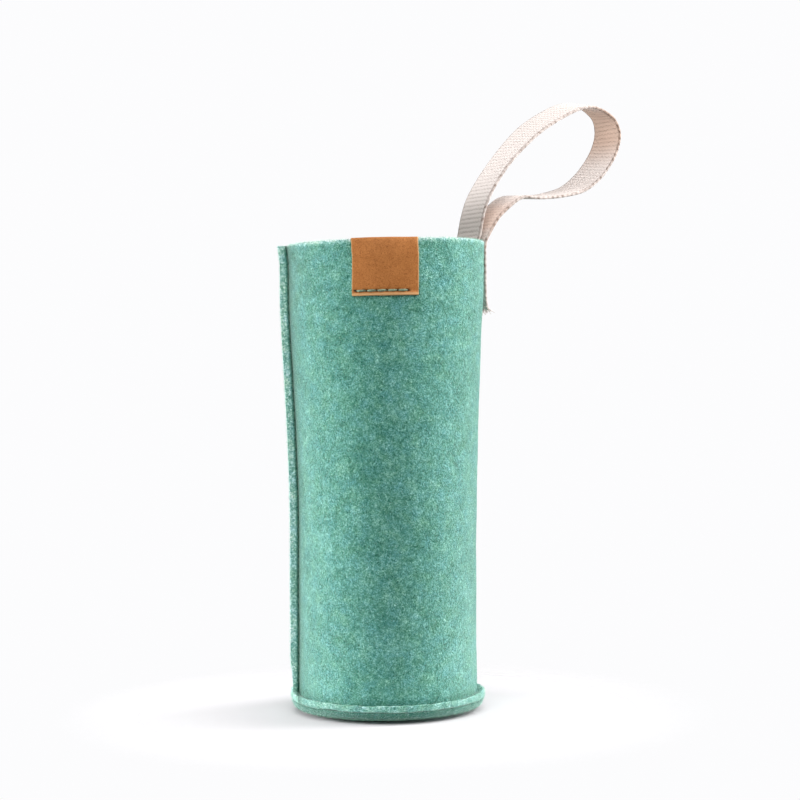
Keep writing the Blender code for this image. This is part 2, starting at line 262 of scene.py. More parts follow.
def turned(name: str, profile: Sequence[Pair], steps: int) -> bpy.types.Object:
    """A body of revolution about Z.

    Args:
        name: The object's name.
        profile: Radius and height of each point, either a closed outline or one with both ends on the axis.
        steps: How many pieces the circle has.

    Returns:
        The new object.
    """
    bm = bmesh.new()
    corners = [bm.verts.new((r, 0.0, z)) for r, z in profile]
    edges = [bm.edges.new(pair) for pair in zip(corners, corners[1:])]
    if profile[0][0] > 0:
        edges.append(bm.edges.new((corners[-1], corners[0])))
    bmesh.ops.spin(bm, geom=corners + edges, axis=(0, 0, 1), cent=(0, 0, 0), angle=math.tau, steps=steps,
                   use_merge=True)
    bmesh.ops.remove_doubles(bm, verts=bm.verts, dist=AXIS_GAP)
    bmesh.ops.recalc_face_normals(bm, faces=bm.faces)
    return as_piece(bm, name)


def rounded(corners: Sequence[Pair], radius: float, step: float) -> list[Pair]:
    """An outline with its outer corners rounded and its sides divided.

    Args:
        corners: The outline's corners; the first and last stay sharp.
        radius: How far the rounding reaches along each side.
        step: The largest distance between two points.

    Returns:
        The outline's points.
    """
    ends = [Vector(corners[0])]
    for before, corner, after in zip(corners, corners[1:], corners[2:]):
        corner = Vector(corner)
        start = corner + (Vector(before) - corner).normalized() * radius
        end = corner + (Vector(after) - corner).normalized() * radius
        for t in (0.0, 0.25, 0.5, 0.75, 1.0):
            ends.append(start * (1 - t) ** 2 + corner * 2 * t * (1 - t) + end * t**2)
    ends.append(Vector(corners[-1]))
    points = [ends[0]]
    for a, b in zip(ends, ends[1:]):
        points += [a.lerp(b, t) for t in spread(0.0, 1.0, step / max((b - a).length, 1e-9))[1:]]
    return [(p.x, p.y) for p in points]


def settle(piece: bpy.types.Object) -> None:
    """Makes what a piece's modifiers show the piece's own mesh.

    Args:
        piece: The piece.
    """
    graph = bpy.context.evaluated_depsgraph_get()
    before = piece.data
    piece.data = bpy.data.meshes.new_from_object(piece.evaluated_get(graph))
    piece.modifiers.clear()
    bpy.data.meshes.remove(before)


def thicken(piece: bpy.types.Object, thickness: float, edge: float, corner: float = 60.0) -> None:
    """Gives a sheet its thickness, with rounded cut edges.

    Args:
        piece: The sheet.
        thickness: Its thickness, half to each side.
        edge: The rounding of its cut edges.
        corner: The least angle, in degrees, of an edge that is rounded.
    """
    solid = piece.modifiers.new("thickness", "SOLIDIFY")
    solid.thickness = thickness
    solid.offset = 0.0
    solid.use_even_offset = True
    bevel = piece.modifiers.new("cut_edge", "BEVEL")
    bevel.width = edge
    bevel.segments = 3
    bevel.limit_method = "ANGLE"
    bevel.angle_limit = math.radians(corner)
    settle(piece)
    piece.data.shade_smooth()


def reshape(piece: bpy.types.Object, move: Callable[[Vector, Vector], Vector]) -> None:
    """Moves each point of a mesh.

    Args:
        piece: The piece.
        move: Gives a point's new place from its place and its normal.
    """
    mesh = piece.data
    moved = [move(vertex.co.copy(), vertex.normal.copy()) for vertex in mesh.vertices]
    mesh.vertices.foreach_set("co", np.array([tuple(p) for p in moved], np.float32).ravel())
    mesh.update()


def mark(piece: bpy.types.Object, name: str, value: Callable[[Vector], float]) -> None:
    """Stores a number from 0 to 1 at each point, for the piece's material.

    Args:
        piece: The piece.
        name: The attribute's name.
        value: Gives the number from the point's place.
    """
    attribute = piece.data.attributes.new(name, "FLOAT", "POINT")
    values = [value(vertex.co) for vertex in piece.data.vertices]
    attribute.data.foreach_set("value", np.array(values, np.float32))


def merged(name: str, pieces: Sequence[bpy.types.Object]) -> bpy.types.Object:
    """Several objects' meshes as one object, which takes their place.

    Args:
        name: The new object's name.
        pieces: The objects.

    Returns:
        The new object.
    """
    bm = bmesh.new()
    for piece in pieces:
        bm.from_mesh(piece.data)
        bpy.data.objects.remove(piece, do_unlink=True)
    return as_piece(bm, name)


def strands(name: str, runs: Sequence[Strand], radius: float, sides: int = 0) -> bpy.types.Object:
    """Thin round strands, as one curve object.

    Args:
        name: The object's name.
        runs: For each strand, its points and their share of the radius.
        radius: The strands' radius.
        sides: The curve's bevel resolution, where 0 gives four sides.

    Returns:
        The new object.
    """
    curve = bpy.data.curves.new(name, "CURVE")
    curve.dimensions = "3D"
    curve.bevel_depth = radius
    curve.bevel_resolution = sides
    curve.use_fill_caps = True
    for run in runs:
        spline = curve.splines.new("POLY")
        spline.points.add(len(run) - 1)
        spline.points.foreach_set("co", [x for point, _ in run for x in (*point, 1.0)])
        spline.points.foreach_set("radius", [share for _, share in run])
        spline.use_smooth = True
    piece = bpy.data.objects.new(name, curve)
    bpy.context.scene.collection.objects.link(piece)
    return piece


def place_piece(piece: bpy.types.Object, material: bpy.types.Material, slot: str, *nodes: str) -> bpy.types.Object:
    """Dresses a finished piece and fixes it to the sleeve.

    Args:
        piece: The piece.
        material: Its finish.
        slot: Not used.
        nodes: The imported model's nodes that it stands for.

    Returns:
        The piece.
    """
    piece.data.materials.clear()
    piece.data.materials.append(material)
    if nodes:
        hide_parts(*nodes)
    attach(piece, "sleeve")
    return piece


# ------------------------------------------------------------------------------------------ finishes


class Kind(Enum):
    """What a recipe makes."""

    MATERIAL = "materials"
    SURROUND = "worlds"


class Blend(Enum):
    """How one colour is laid over another."""

    COVER = "MIX"
    # multiplied, for painted shade
    SHADE_OVER = "MULTIPLY"


class Recipe:
    """Builds the nodes of one material or surround."""

    def __init__(self, name: str, kind: Kind = Kind.MATERIAL) -> None:
        """Starts an empty material or surround.

        Args:
            name: Its name.
            kind: Which of the two it is.
        """
        self.block = getattr(bpy.data, kind.value).new(name)
        self.block.use_nodes = True
        self.tree = self.block.node_tree
        self.tree.nodes.clear()

    def node(self, kind: str, inputs: dict[Any, Any] | None = None, **settings: Any) -> bpy.types.Node:
        """Adds a node.

        Args:
            kind: The node's type after "ShaderNode".
            inputs: What each input takes, a socket or a constant.
            settings: The node's own settings.

        Returns:
            The node.
        """
        made = self.tree.nodes.new("ShaderNode" + kind)
        for name, value in settings.items():
            setattr(made, name, value)
        for name, value in (inputs or {}).items():
            if isinstance(value, bpy.types.NodeSocket):
                self.tree.links.new(value, made.inputs[name])
            else:
                made.inputs[name].default_value = value
        return made

    def where(self) -> bpy.types.NodeSocket:
        """The place on the piece, in metres."""
        return self.node("TexCoord").outputs["Object"]

    def flat(self) -> bpy.types.NodeSocket:
        """The place on the cloth as it was woven, in metres."""
        return self.node("UVMap", uv_map="cloth").outputs["UV"]

    def marked(self, name: str) -> bpy.types.NodeSocket:
        """A number stored on the piece."""
        return self.node("Attribute", attribute_name=name).outputs["Fac"]

    def sum(self, operation: str, *values: Any) -> bpy.types.NodeSocket:
        """The result of a Math node."""
        return self.node("Math", dict(enumerate(values)), operation=operation).outputs[0]

    def grain(self, place: bpy.types.NodeSocket, size: float, detail: float = 2.0, rough: float = 0.5,
              twist: float = 0.0) -> bpy.types.NodeSocket:
        """Soft noise.

        Args:
            place: Where the noise is read.
            size: The size of its clouds, in metres.
            detail: How many finer layers it has.
            rough: How strong those are.
            twist: How far the clouds are curled.

        Returns:
            The noise, about 0.5.
        """
        inputs = {"Vector": place, "Scale": 1 / size, "Detail": detail, "Roughness": rough, "Distortion": twist}
        return self.node("TexNoise", inputs).outputs["Fac"]

    def mottled(self, place: bpy.types.NodeSocket, layers: Sequence[Triple], rough: float) -> bpy.types.NodeSocket:
        """Noise of several sizes together.

        Args:
            place: Where the noise is read.
            layers: For each size, the size in metres, its strength, and how far its clouds are curled.
            rough: How strong the finer layers of each are.

        Returns:
            The noise, about 0.
        """
        total: Any = 0.0
        for size, strength, twist in layers:
            cloud = self.grain(place, size, rough=rough, twist=twist)
            total = self.sum("ADD", total, self.sum("MULTIPLY_ADD", cloud, strength, -strength / 2))
        return total

    def between(self, value: bpy.types.NodeSocket, low: float, high: float, first: float = 0.0,
                last: float = 1.0) -> bpy.types.NodeSocket:
        """A value moved from one range to another, smoothly and held at its ends."""
        inputs = {"Value": value, "From Min": low, "From Max": high, "To Min": first, "To Max": last}
        return self.node("MapRange", inputs, interpolation_type="SMOOTHSTEP").outputs[0]

    def clouds(self, place: bpy.types.NodeSocket, size: float, rough: float = 0.5, twist: float = 0.0,
               detail: float = 2.0, least: float = 0.0) -> bpy.types.NodeSocket:
        """Noise with clear patches: 1 in its upper third and `least` in its lower one."""
        return self.between(self.grain(place, size, detail, rough, twist), 0.35, 0.65, least)

    def mix(self, share: Any, a: Any, b: Any, blend: Blend = Blend.COVER) -> bpy.types.NodeSocket:
        """Two colours mixed."""
        return self.node("Mix", {0: share, 6: a, 7: b}, data_type="RGBA", blend_type=blend.value).outputs[2]

    def bump(self, height: bpy.types.NodeSocket, depth: float) -> bpy.types.NodeSocket:
        """A normal that follows a height, which is `depth` metres at 1."""
        return self.node("Bump", {"Height": height, "Strength": 1.0, "Distance": depth}).outputs[0]

    def surface(self, inputs: dict[Any, Any]) -> bpy.types.Material:
        """Ends the material with a Principled shader of these inputs.

        Args:
            inputs: What each of the shader's inputs takes, a socket or a constant.

        Returns:
            The material.
        """
        shader = self.node("BsdfPrincipled", inputs)
        self.node("OutputMaterial", {"Surface": shader.outputs[0]})
        return self.block


@dataclass(frozen=True)
class FeltFinish:
    """Heathered wool felt: pale and dark fibres of several sizes, cloudy dye, and a soft bloom at the sides.

    Each colour channel is an exponent of the same mottling, so that the light fibres are paler and the dark
    ones deeper than the dye. Matting holds the palest fibres back and keeps the mean, for which the mottling's
    own mean square is given.
    """

    dye: Triple = (0.094, 0.306, 0.240)
    lightening: Triple = (1.75, 1.06, 1.26)
    yellowing: Triple = (0.30, 0.08, -0.42)
    # how far each channel pales with loose fibres and painted highlight
    highlight_paling: Triple = (1.55, 0.82, 0.95)
    palest: float = 0.92
    mottles: tuple[Triple, ...] = (
        (0.00055, 2.6, 0.8), (0.00120, 1.9, 1.4), (0.00300, 1.0, 1.6), (0.01000, 0.8, 0.6),
    )
    hues: tuple[Triple, ...] = ((0.0013, 0.35, 0.0), (0.0055, 1.00, 0.0))
    matting: float = 0.12
    mean_square: float = 0.27
    relief: float = 0.00022
    # painted shade: the colour laid into the seam groove, beside it, in the base crease and under the turned-out edge
    painted_shade: Colour = (0.004, 0.068, 0.040, 1.0)
    bloom: Colour = (0.72, 0.96, 0.88, 1.0)
    fibre_clouds: float = 0.002
    dark_fibre: Colour = (0.30, 0.62, 0.50, 1.0)
    pale_fibre: Colour = (0.72, 0.92, 0.84, 1.0)

    def channel(self, made: Recipe, mottling: Any, hue: Any, fluff_highlight: Any, index: int) -> bpy.types.NodeSocket:
        """One colour channel of the dyed wool.

        Args:
            made: The material's recipe.
            mottling: The wool's mottling, about 0.
            hue: How far its hue drifts, about 0.
            fluff_highlight: How loose it is, with painted highlight on cut edges, from 0 to 1.
            index: 0 for red, 1 for green, 2 for blue.

        Returns:
            The channel's value.
        """
        power = made.sum("MULTIPLY_ADD", mottling, self.lightening[index], math.log(self.dye[index]))
        power = made.sum("MULTIPLY_ADD", hue, self.yellowing[index], power)
        power = made.sum("MULTIPLY_ADD", fluff_highlight, self.highlight_paling[index], power)
        return made.sum("MINIMUM", made.sum("EXPONENT", power), self.palest)

    def mottling(self, made: Recipe, place: Any) -> bpy.types.NodeSocket:
        """The wool's mottling about 0, all its sizes together.

        Args:
            made: The material's recipe.
            place: Where it is read.

        Returns:
            The mottling.
        """
        total = made.mottled(place, self.mottles, 0.6)
        bent = made.sum("MULTIPLY_ADD", total, -self.matting, 1.0)
        return made.sum("MULTIPLY_ADD", total, bent, self.matting * self.mean_square)

    def material(self) -> bpy.types.Material:
        """The felt's material, which pales by the mark of loose fibres and painted highlight, and darkens by the mark
        of painted shade in creases, grooves and under the turned-out edge.

        Returns:
            The material.
        """
        made = Recipe("green_felt_cloth")
        place = made.where()
        mottling = self.mottling(made, place)
        hue = made.mottled(place, self.hues, 0.5)
        fluff_highlight = made.marked("fluff_highlight")
        channels = {index: self.channel(made, mottling, hue, fluff_highlight, index) for index in range(3)}
        colour = made.node("CombineColor", channels).outputs[0]
        # painted shade mixed in by its mark
        colour = made.mix(made.marked("painted_shade"), colour, self.painted_shade)
        return made.surface({
            "Base Color": colour, "Roughness": 0.95, "Specular IOR Level": 0.1, "Sheen Weight": 0.85,
            "Sheen Roughness": 0.4, "Sheen Tint": self.bloom, "Normal": made.bump(mottling, self.relief),
        })

    def hair(self) -> bpy.types.Material:
        """The loose fibres' material.

        Returns:
            The material.
        """
        made = Recipe("green_felt_fibres")
        tone = made.clouds(made.where(), self.fibre_clouds)
        colour = made.mix(tone, self.dark_fibre, self.pale_fibre)
        return made.surface({"Base Color": colour, "Roughness": 0.8, "Specular IOR Level": 0.2})


@dataclass(frozen=True)
class WebbingFinish:
    """Cream cotton webbing: cross ribs over fine warp yarns, and a slanting selvedge."""

    cream: Colour = (0.800, 0.720, 0.680, 1.0)
    shade: Colour = (0.300, 0.235, 0.200, 1.0)
    selvedge: Colour = (0.240, 0.175, 0.145, 1.0)
    # painted shade: grey on the legs low over the rim, warm tan in the turn and over the outer root
    painted_grey_shade: Colour = (0.510, 0.500, 0.480, 1.0)
    # painted warm shade of the turn and the outer root
    painted_warm_shade: Colour = (0.686, 0.484, 0.353, 1.0)
    width: float = 0.017
    rib: float = 0.0021
    yarn: float = 0.00100
    stagger: float = 0.22
    drift: float = 0.5
    drift_size: float = 0.004
    rib_roundness: float = 0.7
    yarn_roundness: float = 0.5
    yarn_depth: float = 0.25
    edge: float = 0.0010
    edge_rib: float = 0.0029
    edge_slant: float = 0.0024
    speck_size: float = 0.0005
    speckling: float = 0.15
    patch_size: float = 0.0016
    relief: float = 0.00005

    def wave(self, made: Recipe, value: Any) -> bpy.types.NodeSocket:
        """A ridge for each whole step of a value, 0 between them."""
        return made.sum("ABSOLUTE", made.sum("SINE", made.sum("MULTIPLY", value, math.pi)))

    def material(self) -> bpy.types.Material:
        """The webbing's material, which follows the weave by the cloth's own map.

        Returns:
            The material.
        """
        made = Recipe("cream_webbing_cloth")
        flat = made.node("SeparateXYZ", {0: made.flat()})
        across, along = flat.outputs[0], flat.outputs[1]
        place = made.where()
        yarns = made.sum("DIVIDE", across, self.yarn)
        odd = made.sum("PINGPONG", made.sum("FLOOR", yarns), 1.0)
        drift = made.sum("MULTIPLY", made.grain(place, self.drift_size), self.drift)
        ribs = made.sum("DIVIDE", along, self.rib)
        ribs = made.sum("ADD", ribs, made.sum("MULTIPLY_ADD", odd, self.stagger, drift))
        over = made.sum("POWER", self.wave(made, ribs), self.rib_roundness)
        side = made.sum("POWER", self.wave(made, yarns), self.yarn_roundness)
        weave = made.sum("MULTIPLY", over, made.sum("MULTIPLY_ADD", side, self.yarn_depth, 1 - self.yarn_depth))
        middle = made.sum("ABSOLUTE", made.sum("SUBTRACT", across, self.width / 2))
        from_edge = made.sum("SUBTRACT", self.width / 2, middle)
        is_edge = made.between(from_edge, self.edge, self.edge * 0.8)
        slant = made.sum("DIVIDE", along, self.edge_rib)
        dash = self.wave(made, made.sum("ADD", slant, made.sum("DIVIDE", from_edge, self.edge_slant)))
        speck = made.grain(place, self.speck_size, 3.0, 0.7, 1.0)
        patchy = made.clouds(place, self.patch_size, least=0.45)
        line = made.sum("MULTIPLY", made.between(weave, 0.50, 0.10), patchy)
        tone = made.mix(line, self.cream, self.shade)
        band = made.sum("MULTIPLY", made.between(dash, 0.95, 0.25, 0.60, 0.95), patchy)
        colour = made.mix(is_edge, tone, made.mix(band, self.cream, self.selvedge))
        colour = made.mix(made.between(speck, 0.56, 0.30, 0.0, self.speckling), colour, self.shade)
        # painted shade multiplied over the cloth by the two marks
        for name, painted_tone in (("painted_grey_shade", self.painted_grey_shade), ("painted_warm_shade", self.painted_warm_shade)):
            colour = made.mix(made.marked(name), colour, painted_tone, Blend.SHADE_OVER)
        height = made.node("Mix", {0: is_edge, 2: over, 3: dash}, data_type="FLOAT").outputs[0]
        return made.surface({
            "Base Color": colour, "Roughness": 0.88, "Specular IOR Level": 0.2, "Sheen Weight": 0.2,
            "Sheen Roughness": 0.5, "Normal": made.bump(height, self.relief),
        })


@dataclass(frozen=True)
class LeatherFinish:
    """Matt tan leather-like sheet with a fine speckled grain, paler cut edges and painted shade in its needle holes.
    """

    tan: Colour = (0.420, 0.155, 0.038, 1.0)
    warm: Colour = (0.560, 0.220, 0.062, 1.0)
    pit: Colour = (0.190, 0.052, 0.010, 1.0)
    edge: Colour = (0.660, 0.400, 0.190, 1.0)
    # painted shade in the needle holes
    hole: Colour = (0.006, 0.004, 0.003, 1.0)
    cloud_size: float = 0.005
    clouding: float = 0.30
    pit_size: float = 0.00062
    pitting: float = 0.85
    speckling: float = 0.75
    relief: float = 0.00012

    def material(self) -> bpy.types.Material:
        """The leather's material, which lightens by the edge mark and darkens by the hole mark, painted shade in the
        needle holes.

        Returns:
            The material.
        """
        made = Recipe("tan_label_sheet")
        place = made.where()
        clouds = made.clouds(place, self.cloud_size, 0.6, 0.5, 3.0)
        pits = made.grain(place, self.pit_size, 3.0, 0.7, 1.2)
        colour = made.mix(made.sum("MULTIPLY", clouds, self.clouding), self.tan, self.warm)
        colour = made.mix(made.between(pits, 0.52, 0.30, 0.0, self.pitting), colour, self.pit)
        colour = made.mix(made.between(pits, 0.54, 0.72, 0.0, self.speckling), colour, self.warm)
        for name, tone in (("edge", self.edge), ("hole", self.hole)):
            colour = made.mix(made.marked(name), colour, tone)
        return made.surface({
            "Base Color": colour, "Roughness": 0.6, "Specular IOR Level": 0.18, "Normal": made.bump(pits, self.relief),
        })


@dataclass(frozen=True)
class ThreadFinish:
    """Twisted sewing thread."""

    name: str
    light: Colour
    dark: Colour
    ply: float = 0.0004
    relief: float = 0.0001

    def material(self) -> bpy.types.Material:
        """The thread's material.

        Returns:
            The material.
        """
        made = Recipe(self.name)
        twist = made.grain(made.where(), self.ply, 2.0, 0.6, 0.5)
        colour = made.mix(made.between(twist, 0.35, 0.65), self.dark, self.light)
        return made.surface({
            "Base Color": colour, "Roughness": 0.6, "Specular IOR Level": 0.3, "Normal": made.bump(twist, self.relief),
        })


GREEN_THREAD = ThreadFinish("green_thread_twist", (0.150, 0.300, 0.220, 1.0), (0.060, 0.160, 0.110, 1.0))
LABEL_THREAD = ThreadFinish("label_thread_twist", (0.250, 0.330, 0.230, 1.0), (0.110, 0.160, 0.100, 1.0))
CREAM_YARN = ThreadFinish("cream_yarn_twist", (0.80, 0.71, 0.67, 1.0), (0.62, 0.50, 0.45, 1.0))


# ------------------------------------------------------------------------------------------ the felt wall


@dataclass(frozen=True)
class Curve:
    """A value that follows a smooth line through the given places and values, as the place goes from 0 to 1."""

    points: tuple[Pair, ...]

    @cached_property
    def line(self) -> tuple[list[float], list[float]]:
        """The smooth line's places and its values."""
        route = smooth_route(self.points, 8)
        return [p.x for p in route], [p.y for p in route]

    def at(self, x: float) -> float:
        """The value at a place."""
        return float(np.interp(x, *self.line))


@dataclass(frozen=True)
class SleeveForm:
    """The felt wall's middle layer, round below and oval at the mouth, on which the other pieces are laid."""

    height: float
    oval_full: float
    strap_angle: float
    flange_radius: float
    flange_bottom: float
    felt: float = 0.003
    pocket_radius: float = 0.037
    mouth_width: float = 0.0886
    mouth_shift: float = 0.001
    opening: Curve = Curve((
        (0.00, 0.00), (0.15, 0.02), (0.32, 0.05), (0.41, 0.08), (0.49, 0.15), (0.58, 0.29), (0.66, 0.44),
        (0.735, 0.60), (0.80, 0.76), (0.875, 0.92), (0.94, 0.98), (1.00, 1.00),
    ))
    leaning: Curve = Curve((
        (0.00, 0.00), (0.30, 0.00), (0.49, 0.35), (0.80, 0.35), (0.90, 0.60), (1.00, 0.90),
    ))
    slimming: Curve = Curve((
        (0.00, 0.15), (0.10, 0.25), (0.26, 0.45), (0.45, 0.52), (0.92, 0.50), (0.97, 0.35), (1.00, 0.00),
    ))
    full_slimming: float = 0.001
    perimeter_power: float = 1.5
    fin_angle: float = math.radians(182)
    fin_depth: float = 0.004
    fin_bend: float = 0.0019
    fin_seam: float = 0.0037
    leaf_gap: float = 0.0003
    strap_inset: float = 0.0014
    facet_fade: Ramp = Ramp(0.045, 0.045)
    least_facing: float = 0.1
    rim_drop: float = 0.0002
    rim_climb: Ramp = Ramp(0.005, 0.05, 0.0012)
    foot_draw: Ramp = Ramp(0.026, 0.016, 0.0013)
    stitch: float = 0.0044

    @classmethod
    def from_frame(cls) -> "SleeveForm":
        """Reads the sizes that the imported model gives.

        Returns:
            The form.
        """
        axis = next(joint["axis"] for joint in frame["joints"] if joint["name"] == "loop_bend")
        return cls(
            height=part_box("felt_panel")[1].z,
            oval_full=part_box("strap_tail_inner")[0].z,
            strap_angle=math.atan2(axis[1], axis[0]) - math.radians(90),
            flange_radius=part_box("felt_base")[1].y,
            flange_bottom=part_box("felt_panel")[0].z,
        )

    @property
    def wall(self) -> float:
        """Radius of the round tube's middle layer."""
        return self.pocket_radius + self.felt / 2

    @property
    def flange_top(self) -> float:
        """Height of the turned-out edge's upper face."""
        return self.flange_bottom + self.felt

    @property
    def leaf(self) -> float:
        """From the fin's plane to a leaf's middle layer."""
        return (self.leaf_gap + self.felt) / 2

    def opened(self, z: float) -> float:
        """How far the tube has opened to its oval at a height."""
        return self.opening.at(z / self.height)

    def half_axes(self, z: float) -> Pair:
        """Half width and half depth at a height, with the same length round the tube.

        Args:
            z: The height.

        Returns:
            The half width and the half depth.
        """
        a = self.wall + (self.mouth_width / 2 - self.felt / 2 - self.wall) * self.opened(z) - self.drawn_in(z)
        power = 2 * self.wall**self.perimeter_power - a**self.perimeter_power
        return a, power ** (1 / self.perimeter_power)

    def drawn_in(self, z: float) -> float:
        """Half of how far the fin's side stands in from the round at a height."""
        return self.full_slimming * self.slimming.at(z / self.height)

    def centre(self, z: float) -> Vector:
        """The wall's centre at a height."""
        lean = self.mouth_shift * self.leaning.at(z / self.height)
        return Vector((lean + self.drawn_in(z), 0.0, z))

    def facet(self, z: float) -> float:
        """Distance from the Z axis to the plane that the strap flattens the wall to.

        Args:
            z: The height.

        Returns:
            The distance.
        """
        a, b = self.half_axes(self.height)
        cos, sin = math.cos(self.strap_angle), math.sin(self.strap_angle)
        held = self.strap_inset * self.facet_fade.at(z - self.oval_full)
        return math.hypot(a * cos, b * sin) + self.centre(self.height).x * cos - held

    def radius(self, angle: float, z: float) -> float:
        """Distance from the wall's centre to its middle layer in one direction.

        Args:
            angle: The direction from the wall's centre.
            z: The height.

        Returns:
            The distance.
        """
        a, b = self.half_axes(z)
        oval = a * b / math.hypot(b * math.cos(angle), a * math.sin(angle))
        facing = math.cos(angle - self.strap_angle)
        if facing < self.least_facing:
            return oval
        return min(oval, (self.facet(z) - self.centre(z).x * math.cos(self.strap_angle)) / facing)

    def point(self, angle: float, z: float, offset: float = 0.0) -> Vector:
        """A point off the wall's middle layer.

        Args:
            angle: Its direction from the wall's centre.
            z: Its height.
            offset: How far outside the middle layer it lies.

        Returns:
            The point.
        """
        on_wall = self.centre(z) + self.outward(angle) * self.radius(angle, z)
        return on_wall + self.normal(angle, z) * offset if offset else on_wall

    def normal(self, angle: float, z: float) -> Vector:
        """The wall's level outward normal in one direction.

        Args:
            angle: The direction from the wall's centre.
            z: The height.

        Returns:
            The normal.
        """
        ahead, behind = (self.outward(angle + step) * self.radius(angle + step, z) for step in (0.01, -0.01))
        along = (ahead - behind).normalized()
        return Vector((along.y, -along.x, 0.0))

    @staticmethod
    def outward(angle: float) -> Vector:
        """The level direction at an angle."""
        return Vector((math.cos(angle), math.sin(angle), 0.0))

    def rim(self, x: float) -> float:
        """Height of the cut rim, which climbs a little to the right."""
        return self.height - self.rim_drop + self.rim_climb.at(x)

    def fin_reach(self, z: float) -> float:
        """Distance from the wall's centre to the fin's free edge, which the base seam draws in."""
        return self.radius(self.fin_angle, z) + self.felt / 2 + self.fin_depth - self.foot_draw.at(-z)

    def fin_seam_reach(self, z: float) -> float:
        """Distance from the wall's centre to the side seam."""
        return self.radius(self.fin_angle, z) + self.felt / 2 + self.fin_depth - self.fin_seam

    def from_fin(self, reach: float, side: float, z: float) -> Vector:
        """A point given by its distances along and across the fin."""
        out = self.outward(self.fin_angle)
        return self.centre(z) + out * reach + beside(out) * side

    def to_fin(self, place: Vector) -> Pair:
        """A point's distances along and across the fin.

        Args:
            place: The point.

        Returns:
            The two distances.
        """
        out = self.outward(self.fin_angle)
        level = place - self.centre(place.z)
        return level.x * out.x + level.y * out.y, level.y * out.x - level.x * out.y

    def front(self, x: float, z: float, offset: float) -> tuple[Vector, Vector]:
        """A point off the front wall.

        Args:
            x: Its distance to the right of the wall's centre.
            z: Its height.
            offset: How far outside the middle layer it lies.

        Returns:
            The point and the wall's normal there.
        """
        a, b = self.half_axes(z)
        x *= b / (b + offset)
        y = -b * math.sqrt(1 - (x / a) ** 2)
        normal = Vector((x / a**2, y / b**2, 0.0)).normalized()
        return self.centre(z) + Vector((x, y, 0.0)) + normal * offset, normal


